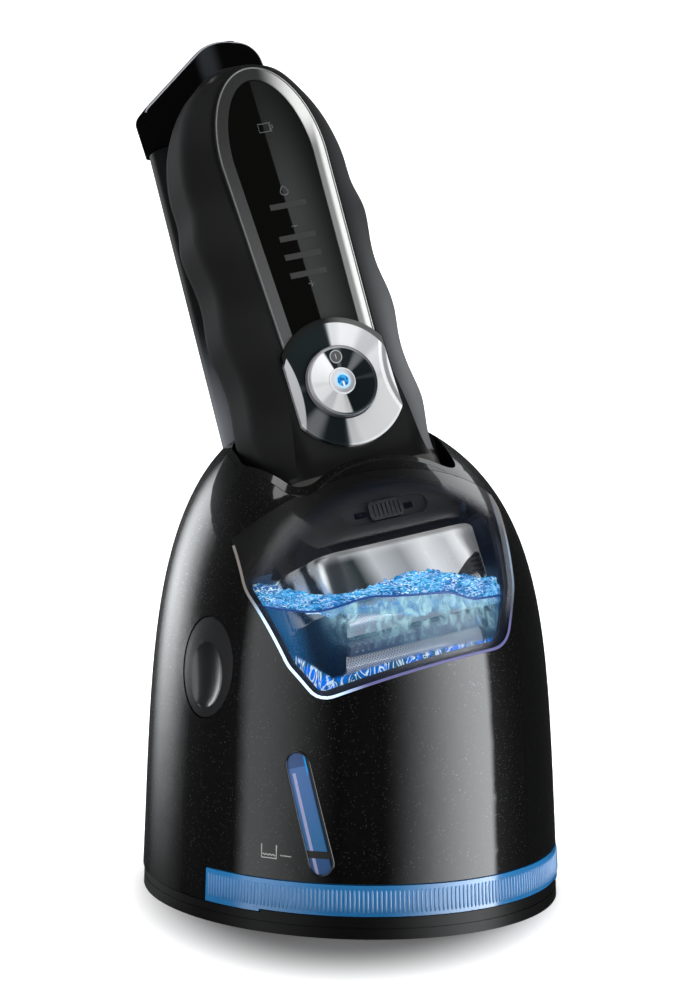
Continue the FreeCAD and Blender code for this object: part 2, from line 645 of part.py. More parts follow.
def make_latch():
    """Flat slide that ties the lift button to the left guide post."""
    top = LIFT_Z - STEM_LOW
    head = LIFT_FRAME.multVec(V(0, LIFT_T + LATCH_HALF_W + GAP_FIXED, 0))
    start, end = V(head.x, head.y, top - LATCH_T), V(-POST_X, POST_Y, top - LATCH_T)
    along = (end - start).normalize()
    across = V(-along.y, along.x, 0) * LATCH_HALF_W
    ring = [start - across, start + across, end + across, end - across, start - across]
    bar = Part.Face(Part.makePolygon(ring)).extrude(V(0, 0, LATCH_T))
    bar = bar.fuse(rod(LATCH_HALF_W, LATCH_T, start))
    bar = bar.fuse(rod(POST_R + 3.2, LATCH_T, end)).fuse(
        rod(POST_R + 3.2, LATCH_T, end - inward_lift() * LIFT_TRAVEL))
    hole = rod(POST_R + GAP_MOVE, LATCH_T, end)
    for step in (0.5, 1.0):
        hole = hole.fuse(rod(POST_R + GAP_MOVE, LATCH_T, end - inward_lift() * LIFT_TRAVEL * step))
    return biggest(bar.cut(hole).cut(bowl_at_press()).removeSplitter())


def inward_lift():
    return LIFT_FRAME.Rotation.multVec(Y_AXIS)


def bowl_at_press():
    """Wash bowl with clearance, where it is to the lift button once that is pressed in."""
    bowl = basin_form(-LIFT_ROOM)
    bowl.translate(-inward_lift() * LIFT_TRAVEL)
    return bowl


# ================================================================ inside the housing
def chassis_z():
    return TANK_TOP + LID_H + CHASSIS_GAP


def make_chassis():
    z0 = chassis_z()
    plate = skirt(DOME_WALL + CHASSIS_EDGE, z0, z0 + CHASSIS_T)
    plate = plate.common(box(-90, 90, -90, CHASSIS_BACK, z0, z0 + CHASSIS_T))
    drain = drain_point()
    plate = plate.cut(rod(DRAIN_R + GAP_FIXED, CHASSIS_T, V(drain.x, drain.y, z0)))
    plate = plate.cut(rod(INTAKE_R + GAP_FIXED, CHASSIS_T, V(PUMP_X, INTAKE_Y, z0)))
    for x in (-POST_X, POST_X):
        foot = V(x, POST_Y, SLEEVE_BOTTOM)
        plate = plate.fuse(rod(POST_R + SLEEVE_WALL, z0 + CHASSIS_T - SLEEVE_BOTTOM, foot))
        plate = plate.cut(rod(POST_R + GAP_FIXED, z0 + CHASSIS_T, foot))
    return plate.cut(docked_basin_clearance()).removeSplitter()


def docked_basin_clearance():
    return basin_form(-GAP_FIXED)


def make_pump_housing():
    z0 = chassis_z() + CHASSIS_T
    body = rod(PUMP_R, PUMP_H, V(PUMP_X, PUMP_Y, z0))
    body = body.cut(rod(PUMP_R - PUMP_WALL, PUMP_H - 2 * PUMP_WALL,
                        V(PUMP_X, PUMP_Y, z0 + PUMP_WALL)))
    body = body.cut(rod(SHAFT_R + 0.05, PUMP_H, V(PUMP_X, PUMP_Y, z0 + PUMP_WALL)))
    body = body.cut(rod(INTAKE_R + GAP_FIXED, PUMP_WALL, V(PUMP_X, INTAKE_Y, z0)))
    start, reach = outlet_run()
    return body.cut(rod(OUTLET_R + GAP_FIXED, reach.Length, start, reach))


def outlet_run():
    """Where the outlet leaves the pump, and its straight run to the riser."""
    z = chassis_z() + CHASSIS_T + PUMP_H / 2
    riser = V(OUTLET_X, OUTLET_Y, z)
    centre = V(PUMP_X, PUMP_Y, z)
    away = (riser - centre).normalize()
    start = centre + away * (PUMP_R - PUMP_WALL)
    return start, riser - start


def make_pump_motor():
    z0 = chassis_z() + CHASSIS_T + PUMP_H
    can = rod(MOTOR_R, MOTOR_H, V(PUMP_X, PUMP_Y, z0))
    can = can.makeFillet(1.2, [e for e in can.Edges if e.BoundBox.ZMin > z0 + MOTOR_H - 0.01])
    return can.cut(rod(SHAFT_R + 0.05, MOTOR_H - 3, V(PUMP_X, PUMP_Y, z0)))


def make_impeller():
    z0 = chassis_z() + CHASSIS_T + PUMP_WALL + 1.0
    centre = V(PUMP_X, PUMP_Y, z0)
    wheel = rod(SHAFT_R + 1.4, IMPELLER_H, centre).fuse(rod(IMPELLER_R, 1.0, centre))
    for k in range(IMPELLER_BLADES):
        blade = box(0, IMPELLER_R, -BLADE_T / 2, BLADE_T / 2, 0, IMPELLER_H)
        blade.rotate(V(0, 0, 0), Z_AXIS, 360.0 * k / IMPELLER_BLADES)
        blade.translate(centre)
        wheel = wheel.fuse(blade)
    shaft = rod(SHAFT_R, PUMP_H + MOTOR_H - 8, centre)
    return wheel.fuse(shaft).removeSplitter()


def make_intake_tube():
    top = chassis_z() + CHASSIS_T + PUMP_WALL
    return tube(INTAKE_R, INTAKE_BORE_R, top - INTAKE_BOTTOM, V(PUMP_X, INTAKE_Y, INTAKE_BOTTOM))


def make_outlet_tube():
    start, reach = outlet_run()
    riser = start + reach
    up = V(0, 0, OUTLET_TOP - riser.z)
    back_wall = V(OUTLET_X, -30, OUTLET_TOP)
    form, bore = [], []
    for radius, parts in ((OUTLET_R, form), (OUTLET_BORE_R, bore)):
        parts.append(rod(radius, reach.Length, start, reach))
        parts.append(rod(radius, up.Length, riser, up))
        parts.append(rod(radius, OUTLET_Y + 30, back_wall, Y_AXIS))
        parts.extend([Part.makeSphere(radius, riser), Part.makeSphere(radius, riser + up)])
    whole = fused(form).cut(fused(bore))
    whole = whole.cut(basin_form(-GAP_FIXED)).cut(docked(plan_prism(
        -60, 60, BASIN_LOW_BACK, 80, 1, -90, 90)))
    return max(whole.Solids, key=lambda s: s.Volume)


def make_drain_tube():
    drain = drain_point()
    low = TANK_TOP + LID_H + 0.5
    stub = tube(DRAIN_R, DRAIN_BORE_R, 20, V(drain.x, drain.y, low))
    stub = stub.cut(basin_form(0))
    return min(stub.Solids, key=lambda s: s.BoundBox.ZMin)


def make_circuit_board():
    front = socket_front() - BOARD_T
    board = box(-BOARD_HALF_X, BOARD_HALF_X, front, front + BOARD_T, BOARD_BOTTOM, BOARD_TOP)
    chips = [box(-14, -4, front - 1.6, front, 40, 48), box(2, 8, front - 3.0, front, 34, 46),
             box(10, 17, front - 1.2, front, 50, 56)]
    return fused([board] + chips)


def socket_front():
    return DOME_HALF_Y * dome_scale(SOCKET_Z, 0) - SOCKET_DEPTH


def socket_box(grow):
    y0 = socket_front()
    return box(-SOCKET_HALF_X - grow, SOCKET_HALF_X + grow, y0, y0 + SOCKET_DEPTH + 8,
               SOCKET_Z - SOCKET_HALF_Z - grow, SOCKET_Z + SOCKET_HALF_Z + grow)


def make_power_socket():
    """Two-pin inlet at the back of the housing."""
    y0 = socket_front()
    body = socket_box(0).common(dome_form(0.3, 2))
    mouth = box(-SOCKET_HALF_X + SOCKET_WALL, SOCKET_HALF_X - SOCKET_WALL,
                y0 + SOCKET_DEPTH - SOCKET_PIN_L - 2, y0 + SOCKET_DEPTH + 8,
                SOCKET_Z - SOCKET_HALF_Z + SOCKET_WALL, SOCKET_Z + SOCKET_HALF_Z - SOCKET_WALL)
    return body.cut(mouth)


def make_socket_pins():
    base = socket_front() + SOCKET_DEPTH - SOCKET_PIN_L - 2
    return Part.makeCompound([rod(SOCKET_PIN_R, SOCKET_PIN_L, V(x, base, SOCKET_Z), Y_AXIS)
                              for x in (-SOCKET_PIN_X, SOCKET_PIN_X)])


# ================================================================ basin and fluid
def make_basin():
    basin = basin_form(0).cut(basin_form(BASIN_WALL))
    basin = basin.cut(docked(opening_prism(0, BASIN_WIDE_U - BASIN_WALL * 2, RIM_BOTTOM)))
    basin = basin.cut(docked(arm_form(GAP_FIXED, ARM_FOOT_U, ARM_TOP_U)))
    basin = basin.cut(window_prism(-WINDOW_LEDGE))
    drain = drain_point()
    basin = basin.cut(rod(DRAIN_BORE_R, 40, V(drain.x, drain.y, drain.z - 20)))
    return max(basin.Solids, key=lambda s: s.Volume)


def make_fluid():
    fluid = basin_form(BASIN_WALL + GAP_FIXED)
    fluid = fluid.common(box(-90, 90, -90, 90, 0, FLUID_Z))
    fluid = fluid.cut(docked(head_pocket())).cut(docked(cassette_pocket()))
    return biggest(fluid)


def head_pocket():
    """Room that the shaving head takes on its way out of the basin."""
    side = HEAD_HALF_X + FLUID_SIDE
    return plan_prism(-side, side, HEAD_BACK - FLUID_CLEAR, HEAD_FRONT + FLUID_CLEAR - 1,
                      HEAD_R, HEAD_BOTTOM - FLUID_BELOW, 60)


def cassette_pocket():
    """The same for the narrower cassette below it."""
    side = CASSETTE_HALF_X + FLUID_SIDE
    low = shave_frame(FOIL_PITCH, 0)[1] - FLUID_BELOW - END_PROUD
    return plan_prism(-side, side, HEAD_BACK - FLUID_CLEAR, HEAD_FRONT + FLUID_CLEAR - 1,
                      HEAD_R, low, 60)


# ================================================================ arm, cap and contacts
def make_arm():
    outer = arm_form(0, ARM_FOOT_U, ARM_TOP_U)
    outer = outer.cut(arm_form(-ARM_WALL, ARM_FOOT_U, ARM_TOP_U))
    outer = outer.cut(contact_window(GAP_FIXED))
    top = ARM_TOP_U + 1
    front = outer.common(dock_box(-40, 40, ARM_SPLIT, 0, ARM_FOOT_U, top))
    back = outer.common(dock_box(-40, 40, -60, ARM_SPLIT, ARM_FOOT_U, top))
    return docked(front), docked(back)


def contact_window(grow):
    return dock_box(-CONTACT_HALF_X - grow, CONTACT_HALF_X + grow, ARM_FRONT - ARM_WALL - 1,
                    ARM_FRONT + 1, CONTACT_U - CONTACT_HALF_U - grow,
                    CONTACT_U + CONTACT_HALF_U + grow)


def make_contact_block():
    block = dock_box(-CONTACT_HALF_X, CONTACT_HALF_X, ARM_FRONT - ARM_WALL - 3, ARM_FRONT,
                     CONTACT_U - CONTACT_HALF_U, CONTACT_U + CONTACT_HALF_U)
    for x in (-CONTACT_X, CONTACT_X):
        block = block.cut(rod(CONTACT_R + 0.08, 20, V(x, 0, CONTACT_U), Y_AXIS))
    return docked(block)


def make_contact_pins():
    tip = BODY_BACK - GAP_MOVE
    pins = []
    for x in (-CONTACT_X, CONTACT_X):
        pin = rod(CONTACT_R, CONTACT_L, V(x, -tip, CONTACT_U), Y_AXIS)
        ends = [e for e in pin.Edges if e.BoundBox.YMax < -tip + 0.01]
        pins.append(pin.makeFillet(CONTACT_R * 0.3, ends))
    return docked(Part.makeCompound(pins))


def cap_solid(n0, n1, inset):
    face = Part.Face(rounded_wire(CAP_OUTLINE, lambda a, b: V(a, -n0, b)))
    if inset:
        face = Part.Face(face.OuterWire.makeOffset2D(-inset))
    return face.extrude(V(0, n0 - n1, 0))


def make_cap():
    outer = cap_solid(CAP_BACK, ARM_FRONT, 0)
    low = min(u for x, u, r in CAP_OUTLINE)
    edges = [e for e in outer.Edges if e.BoundBox.ZMax > low + 1
             and e.BoundBox.YLength < 0.01]
    behind = [e for e in edges if e.BoundBox.YMin > -CAP_BACK - 0.01]
    ahead = [e for e in edges if e.BoundBox.YMax < -ARM_FRONT + 0.01]
    outer = outer.makeFillet(CAP_BACK_EDGE, behind)
    ahead = [e for e in outer.Edges if e.BoundBox.YMax < -ARM_FRONT + 0.01
             and e.BoundBox.ZMax > low + 1]
    outer = outer.makeFillet(CAP_EDGE, ahead)
    inner = cap_solid(CAP_BACK + CAP_WALL, ARM_FRONT - CAP_WALL, CAP_WALL)
    shell = outer.cut(inner)
    shell = shell.cut(rod(START_R + GAP_MOVE, 30, V(START_X, -START_N, low + 15)))
    plug = arm_form(-ARM_WALL - GAP_FIXED, ARM_TOP_U - 5, ARM_TOP_U + 0.2)
    core = arm_form(-2 * ARM_WALL, ARM_TOP_U - 5, ARM_TOP_U + 0.2)
    lip = arm_form(-ARM_WALL - GAP_FIXED, low - 0.4, low + CAP_WALL)
    return docked(fused([shell, plug.cut(core), lip.cut(core)]))


def cap_top_u(x):
    """Height of the cap's upper face above the start button."""
    (x0, u0, r0), (x1, u1, r1) = CAP_OUTLINE[2], CAP_OUTLINE[3]
    return u0 + (u1 - u0) * (x - x0) / (x1 - x0)


def make_start_button():
    top = cap_top_u(START_X) + START_PROUD
    knob = rod(START_R, START_L, V(START_X, -START_N, top - START_L))
    rim = [e for e in knob.Edges if e.BoundBox.ZMin > top - 0.01]
    knob = knob.makeFillet(START_PROUD * 0.8, rim)
    flange = rod(START_R + START_FLANGE, START_FLANGE,
                 V(START_X, -START_N, top - START_L - START_FLANGE))
    edge = CAP_WALL + GAP_MOVE
    flange = flange.common(cap_solid(CAP_BACK + edge, ARM_FRONT - edge, edge))
    return docked(biggest(knob.fuse(flange)))


# ================================================================ shaver handle
def handle_half(u):
    """Half-width: a waist between three soft bulges, and a rounded tail."""
    half = BODY_WAIST_X
    for centre in BODY_BULGES:
        half += (BODY_BULGE_X - BODY_WAIST_X) * math.exp(-((u - centre) / BULGE_REACH) ** 2)
    if u < 0:
        half += (NECK_X - half) * min(1, u / NECK_BOTTOM)
    if u > BODY_ROUND_U:
        t = (u - BODY_ROUND_U) / (BODY_END_U - BODY_ROUND_U)
        half *= (1 - t ** BODY_TAIL_POWER) ** (1 / BODY_TAIL_POWER)
    elif u > BODY_BULGES[-1]:
        share = (u - BODY_BULGES[-1]) / (BODY_ROUND_U - BODY_BULGES[-1])
        half += (BODY_TAIL_X - BODY_WAIST_X) * share
    return half


def handle_depth(u):
    """Front and back of the handle at height u."""
    front, back = BODY_FRONT, BODY_BACK
    if u < 0:
        share = min(1, u / NECK_BOTTOM)
        front += (NECK_FRONT - BODY_FRONT) * share
        back += (NECK_BACK - BODY_BACK) * share
    if u > BODY_ROUND_U:
        t = (u - BODY_ROUND_U) / (BODY_END_U - BODY_ROUND_U)
        front = BODY_MID_N + (front - BODY_MID_N) * (1 - t ** BODY_FACE_POWER) ** 0.4
        back = BODY_MID_N + (back - BODY_MID_N) * (1 - t ** BODY_BACK_POWER) ** 0.45
    return front, back


def handle_form(inset):
    tail = BODY_END_U - BODY_ROUND_U
    heights = [NECK_BOTTOM * (1 - k / NECK_STEPS) for k in range(NECK_STEPS)]
    heights += [BODY_STEP * k for k in range(int(BODY_ROUND_U / BODY_STEP) + 1)]
    heights += [BODY_ROUND_U + tail * s for s in (0.07, 0.24, 0.4, 0.56, 0.7, 0.82, 0.91, 0.97)]
    wires = []
    for u in heights:
        front, back = handle_depth(u)
        half = handle_half(u)
        depth = (front - back) / 2
        radius = min(BODY_R, half * 0.6, depth * 0.75)
        k = 1 - inset / (tail / 2) if u > BODY_ROUND_U else 1
        z = u - inset * max(0, (u - BODY_ROUND_U) / tail)
        half, front, back = half * k - inset, front - inset, back + inset
        wires.append(plan_wire(-half, half, back, front, max(radius - inset, half * 0.3), z))
    return loft(wires)


def frame_outline(inset, foot_u):
    """Upright arch that narrows downward, for the bright frame and the panel in it."""
    wide, waist = STRIP_TOP_X - inset, STRIP_WAIST_X - inset
    reach = (wide - waist) / (STRIP_ARC_U - STRIP_WAIST_U)
    foot = waist - reach * (STRIP_WAIST_U - foot_u)
    centre = V(0, 0, STRIP_ARC_U)
    ellipse = Part.Ellipse(V(0, 0, STRIP_TOP_U - inset), V(wide, 0, STRIP_ARC_U), centre)
    arch = Part.ArcOfEllipse(ellipse, -math.pi / 2, math.pi / 2).toShape()
    sides = [Part.LineSegment(V(-foot, 0, foot_u), V(-wide, 0, STRIP_ARC_U)).toShape(),
             Part.LineSegment(V(wide, 0, STRIP_ARC_U), V(foot, 0, foot_u)).toShape(),
             Part.LineSegment(V(foot, 0, foot_u), V(-foot, 0, foot_u)).toShape()]
    return Part.Face(Part.Wire(Part.__sortEdges__(sides + [arch])))


def frame_prism(inset, foot_u, n0, n1):
    face = frame_outline(inset, foot_u)
    face.translate(V(0, -n0, 0))
    return face.extrude(V(0, n0 - n1, 0))


def surround_disc(radius, n0, n1):
    return rod(radius, n1 - n0, V(0, -n0, SURROUND_U), V(0, -1, 0))


def surround_form(grow, n0, n1):
    half = SURROUND_X + grow
    disc = surround_disc(SURROUND_R + grow, n0, n1)
    return disc.common(dock_box(-half, half, n0, n1, -40, 90))


def strip_prism():
    """Middle of the front and back that the side grips border on."""
    foot, side = STRIP_FOOT_X, SURROUND_X + STRIP_EDGE
    skirt_ring = [(-foot, -40.0, 0.0), (foot, -40.0, 0.0), (foot, STRIP_FOOT_U, STRIP_FOOT_R),
                  (side, SURROUND_U, 0.0), (-side, SURROUND_U, 0.0),
                  (-foot, STRIP_FOOT_U, STRIP_FOOT_R)]
    return fused([frame_prism(-STRIP_EDGE, SURROUND_U, -60, 60),
                  surround_form(STRIP_EDGE, -60, 60), front_prism(skirt_ring, -60, 60)])


def make_handle():
    outer, middle = handle_form(0), handle_form(GRIP_T)
    inner = handle_form(GRIP_T + BODY_WALL)
    grips = outer.common(dock_box(-60, 60, -60, 60, GRIP_BOTTOM, GRIP_TOP))
    seam = dock_box(-GRIP_SEAM / 2, GRIP_SEAM / 2, -60, 60, 0, 130)
    grips = grips.cut(strip_prism()).cut(middle).cut(seam)
    sides = sorted([s for s in grips.Solids if s.Volume > 500], key=lambda s: s.CenterOfMass.x)
    shell = outer.cut(inner).cut(Part.makeCompound(sides))
    shell = shell.cut(frame_prism(-GAP_FIXED, SURROUND_U, BODY_FRONT - FRAME_SEAT, 40))
    shell = shell.cut(surround_form(GAP_FIXED, BODY_FRONT - FRAME_SEAT, 40))
    shell = shell.cut(surround_disc(BUTTON_STEM_R + GAP_MOVE, BODY_FRONT - 8, 40))
    neck_zone = dock_box(-60, 60, -60, 60, -60, NECK_TOP)
    neck = shell.common(neck_zone)
    shell = shell.cut(neck_zone)
    front = shell.common(dock_box(-60, 60, BODY_MID_N, 60, NECK_TOP, 130))
    back = shell.common(dock_box(-60, 60, -60, BODY_MID_N, NECK_TOP, 130))
    return sides[0], sides[-1], biggest(front), biggest(back), make_neck(neck)


def biggest(shape):
    return max(shape.Solids, key=lambda s: s.Volume)


def barrel_zone(grow, half_x):
    return rod(BARREL_R + grow, 2 * half_x, V(-half_x, -PIVOT_N, PIVOT_U), X_AXIS)


def lock_front():
    """Front of the neck beside the lock slider."""
    return handle_depth(LOCK_U)[0]


def make_neck(neck):
    neck = neck.cut(barrel_zone(GAP_SWING, 60))
    face = lock_front()
    low, high = LOCK_U - LOCK_RECESS_H / 2, LOCK_U + LOCK_RECESS_H / 2
    recess = front_prism(rect_corners(-LOCK_RECESS_X, LOCK_RECESS_X, low, high,
                                      LOCK_RECESS_H / 2 - 1e-3), face - LOCK_DEPTH, 60)
    slit = dock_box(-LOCK_TRAVEL - 3, LOCK_TRAVEL + 3, 0, 60, LOCK_U - 0.9, LOCK_U + 0.9)
    return biggest(neck.cut(recess).cut(slit.cut(dock_box(-60, 60, -60, face - 5, -60, 60))))


def make_lock_slider():
    face = lock_front()
    base = face - LOCK_DEPTH + GAP_MOVE
    low, high = LOCK_U - LOCK_H / 2, LOCK_U + LOCK_H / 2
    knob = front_prism(rect_corners(-LOCK_HALF_X, LOCK_HALF_X, low, high, 1.4), base,
                       face + LOCK_PROUD)
    for k in range(-3, 4):
        groove = dock_box(k * 1.3 - 0.25, k * 1.3 + 0.25, face + LOCK_PROUD - 0.4,
                          face + LOCK_PROUD + 1, LOCK_U - 1.8, LOCK_U + 1.8)
        knob = knob.cut(groove)
    return docked(knob)


def make_display_frame():
    n0, n1 = BODY_FRONT - FRAME_SEAT, BODY_FRONT - FRAME_SEAT + FRAME_T
    ring = frame_prism(0, SURROUND_U, n0, n1)
    ring = ring.cut(frame_prism(FRAME_W, SURROUND_U - 1, n0 - 1, n1 + 1))
    ring = ring.cut(surround_form(GAP_FIXED, n0 - 1, n1 + 1))
    return docked(Part.makeCompound(ring.Solids))


def make_display_panel():
    n0 = BODY_FRONT - FRAME_SEAT
    panel = frame_prism(FRAME_W + GAP_FIXED, SURROUND_U, n0, n0 + PANEL_T)
    panel = panel.cut(surround_form(GAP_FIXED, n0 - 1, 40))
    return docked(biggest(panel))


def make_surround():
    n0 = BODY_FRONT - FRAME_SEAT
    disc = surround_form(0, n0, n0 + SURROUND_T)
    cone = Part.makeCone(BUTTON_R + GAP_MOVE, SURROUND_R - 0.6, SURROUND_DISH,
                         V(0, -(n0 + SURROUND_T - SURROUND_DISH), SURROUND_U), V(0, -1, 0))
    disc = disc.cut(cone)
    return docked(disc.cut(surround_disc(BUTTON_R + GAP_MOVE, n0 - 1, 40)))


def make_power_button():
    """Dished round button with a stem that goes through the front shell."""
    n0 = BODY_FRONT + BUTTON_SEAT
    top = n0 + BUTTON_T
    disc = surround_disc(BUTTON_R, n0, top)
    rim = [e for e in disc.Edges if e.BoundBox.YMin < -top + 0.01 and e.BoundBox.YLength < 0.01]
    disc = disc.makeFillet(0.5, rim)
    dish = Part.makeCone(LENS_R, BUTTON_R - 1.0, 0.7, V(0, -(top - 0.7), SURROUND_U), V(0, -1, 0))
    disc = disc.cut(dish).cut(surround_disc(LENS_R + GAP_FIXED, top - 0.7 - LENS_T, 60))
    stem = surround_disc(BUTTON_STEM_R, n0 - BUTTON_STEM_L, n0)
    lens = surround_disc(LENS_R, top - 0.7 - LENS_T, top - 0.2)
    lens = lens.makeFillet(0.4, [e for e in lens.Edges if e.BoundBox.YMax < -(top - 0.21)])
    led = surround_disc(LED_R, top - 0.7 - LENS_T, top - 0.7)
    return docked(disc.fuse(stem)), docked(lens.cut(led)), docked(led)


def make_handle_insides():
    battery = rod(BATTERY_R, BATTERY_L, V(0, -BODY_MID_N, BATTERY_U))
    battery = battery.makeFillet(0.8, [e for e in battery.Edges if e.BoundBox.ZLength < 0.01])
    drive = drive_block(0)
    pin = rod(DRIVE_PIN_R, drive_pin_length(), V(0, -BODY_MID_N, DRIVE_BOTTOM), V(0, 0, -1))
    board_n = BODY_BACK + GRIP_T + BODY_WALL + 0.2
    board = dock_box(-SHAVER_BOARD_HALF_X, SHAVER_BOARD_HALF_X, board_n,
                     board_n + SHAVER_BOARD_T, BOARD_LOW_U, BOARD_HIGH_U)
    for u in CRADLE_U:
        board = board.fuse(dock_box(-CRADLE_HALF_X, CRADLE_HALF_X, board_n, BODY_MID_N,
                                    u - CRADLE_T / 2, u + CRADLE_T / 2))
    snug = rod(BATTERY_R + GAP_FIXED, BATTERY_L, V(0, -BODY_MID_N, BATTERY_U))
    board = board.cut(snug).cut(drive_block(GAP_FIXED))
    return docked(battery), docked(drive), docked(pin), docked(board)


def drive_block(grow):
    half_x, half_n = DRIVE_HALF_X + grow, DRIVE_HALF_N + grow
    return plan_prism(-half_x, half_x, BODY_MID_N - half_n, BODY_MID_N + half_n, DRIVE_R + grow,
                      DRIVE_BOTTOM - grow, DRIVE_TOP + grow)


def drive_pin_length():
    """Length of the drive pin, from the drive down to just above the head's barrel."""
    return DRIVE_BOTTOM - (PIVOT_U + BARREL_R + GAP_SWING + 0.8)


# ================================================================ shaving head
def head_block(inset, u0, u1):
    face = Part.Face(rounded_wire(head_plan(inset), lambda a, b: V(a, b, u0)))
    return face.extrude(V(0, 0, u1 - u0))


def release_zone(grow):
    """Wedge-shaped patch at the frame's lower right that the release button fills."""
    corners = [(RELEASE_X0 - grow, HEAD_BOTTOM - 2, 0.0),
               (RELEASE_X1 + grow, HEAD_BOTTOM - 2, 0.0),
               (RELEASE_X1 + grow, RELEASE_TOP + grow, 1.5),
               (RELEASE_X0 + 8, HEAD_BOTTOM + 4.5 + grow, 2.0)]
    return front_prism(corners, HEAD_WIDE_N + 8, 60)


def make_head_frame():
    block = head_block(0, HEAD_BOTTOM, HEAD_TOP)
    rim = [e for e in block.Edges if e.BoundBox.ZMin > HEAD_TOP - 0.01]
    block = block.makeFillet(1.8, rim)
    block = block.cut(barrel_zone(GAP_FIXED, BARREL_HALF_X + GAP_FIXED))
    block = block.cut(release_zone(GAP_MOVE)).cut(floating_room())
    return docked(biggest(block))


def make_head_core():
    core = barrel_zone(0, BARREL_HALF_X)
    core = core.cut(dock_box(-60, 60, -60, 60, -90, HEAD_BOTTOM))
    core = core.cut(release_zone(GAP_MOVE).common(
        head_block(-5, -60, 0).cut(head_block(RELEASE_T + RELEASE_TRAVEL + GAP_MOVE, -60, 0))))
    return docked(biggest(core.cut(floating_room())))


def make_release_button():
    button = head_block(0.15, HEAD_BOTTOM + 0.3, HEAD_TOP).cut(head_block(RELEASE_T, -60, 0))
    button = button.common(release_zone(0)).cut(foil_slot(0))
    pressed = foil_slot(0)
    pressed.translate(V(0, -RELEASE_TRAVEL - GAP_MOVE, 0))
    button = button.cut(pressed)
    for k in range(5):
        u = HEAD_BOTTOM + 1.4 + 1.4 * k
        groove = dock_box(-40, 40, HEAD_FRONT - 4.0, 60, u - 0.3, u + 0.3)
        groove = groove.cut(head_block(0.6, -60, 0))
        button = button.cut(groove)
    return docked(biggest(button))


def shave_frame(along, depth):
    """Dock position (n, u) on the shaving face: along it from the front foil, and below it."""
    a = math.radians(SHAVE_ANGLE)
    n = FOIL_TOP[0] - along * math.sin(a) - depth * math.cos(a)
    u = FOIL_TOP[1] - along * math.cos(a) + depth * math.sin(a)
    return n, u


def face_strip(a0, a1, d0, d1, half_x, radius=0.0):
    """Bar along x whose section is a rectangle square to the shaving face."""
    ring = [shave_frame(a0, d0), shave_frame(a1, d0), shave_frame(a1, d1), shave_frame(a0, d1)]
    return side_prism([(n, u, radius) for n, u in ring], -half_x, half_x)


def cassette_form(proud, x0, x1):
    n0, u0 = shave_frame(-FOIL_R - 1.0, CASSETTE_FACE - proud)
    n1, u1 = shave_frame(FOIL_PITCH + FOIL_R + 1.6, CASSETTE_FACE - proud)
    ring = [(HEAD_FRONT - 1.4, HEAD_BOTTOM - GAP_FIXED, 0.0)]
    ring += [(n0, min(u0, HEAD_BOTTOM - 1.0), 1.0), (n1, u1, 2.0)]
    ring += [(n, u, 3.0) for n, u in CASSETTE_BACK[:2]]
    ring += [(CASSETTE_BACK[2][0], HEAD_BOTTOM - GAP_FIXED, 0.0)]
    return side_prism(ring, x0, x1)


def foil_slot(along):
    return face_strip(along - FOIL_R - GAP_MOVE, along + FOIL_R + GAP_MOVE, -5,
                      FOIL_R + FOIL_WALL_H + FOIL_TRAVEL + GAP_MOVE, FOIL_HALF_X + GAP_MOVE)


def make_cassette():
    body = cassette_form(0, -CASSETTE_HALF_X, CASSETTE_HALF_X)
    for side in (-1, 1):
        x0, x1 = sorted((side * (FOIL_HALF_X + GAP_MOVE), side * CASSETTE_HALF_X))
        body = body.fuse(cassette_form(END_PROUD, x0, x1))
    body = body.common(head_block(0.8, -90, HEAD_TOP))
    return docked(biggest(body.cut(floating_room()).removeSplitter()))


def trimmer_slot():
    mid = FOIL_PITCH / 2
    half = TRIM_W / 2 + GAP_MOVE
    return face_strip(mid - half, mid + half, -5, TRIM_SUNK + TRIM_H + FOIL_TRAVEL + GAP_MOVE,
                      TRIM_HALF_X + GAP_MOVE)


def floating_room():
    """Space that both foils and the middle trimmer need over their travel."""
    return Part.makeCompound([foil_slot(0), foil_slot(FOIL_PITCH), trimmer_slot()])


def make_foil(along):
    """Arched foil with straight side walls, and the cutter block under it."""
    n, u = shave_frame(along, FOIL_R)
    centre = V(-FOIL_HALF_X, -n, u)
    length = 2 * FOIL_HALF_X
    arch = rod(FOIL_R, length, centre, X_AXIS).fuse(
        face_strip(along - FOIL_R, along + FOIL_R, FOIL_R, FOIL_R + FOIL_WALL_H, FOIL_HALF_X))
    hollow = rod(FOIL_R - FOIL_T, length, centre, X_AXIS).fuse(
        face_strip(along - FOIL_R + FOIL_T, along + FOIL_R - FOIL_T, FOIL_R,
                   FOIL_R + FOIL_WALL_H + 1, FOIL_HALF_X))
    cut_low = face_strip(along - 9, along + 9, FOIL_R + FOIL_WALL_H, 40, FOIL_HALF_X + 1)
    foil = arch.cut(hollow).cut(cut_low)
    cutter = rod(CUTTER_R, length - 4, centre + V(2, 0, 0), X_AXIS)
    cutter = cutter.fuse(face_strip(along - CUTTER_R, along + CUTTER_R, FOIL_R,
                                    FOIL_R + FOIL_WALL_H - 1, FOIL_HALF_X - 2))
    return docked(biggest(foil.removeSplitter())), docked(cutter.removeSplitter())


def make_middle_trimmer():
    mid, half = FOIL_PITCH / 2, TRIM_W / 2
    bar = face_strip(mid - half, mid + half, TRIM_SUNK, TRIM_SUNK + TRIM_H, TRIM_HALF_X)
    count = int(2 * (TRIM_HALF_X - 2) / TRIM_PITCH)
    for k in range(count + 1):
        x = -TRIM_HALF_X + 2 + k * TRIM_PITCH
        tooth = face_strip(mid - half - 1, mid + half * 0.3, -1, TRIM_SUNK + 1.2, TRIM_PITCH / 4)
        tooth.translate(V(x, 0, 0))
        bar = bar.cut(tooth)
    return docked(bar)


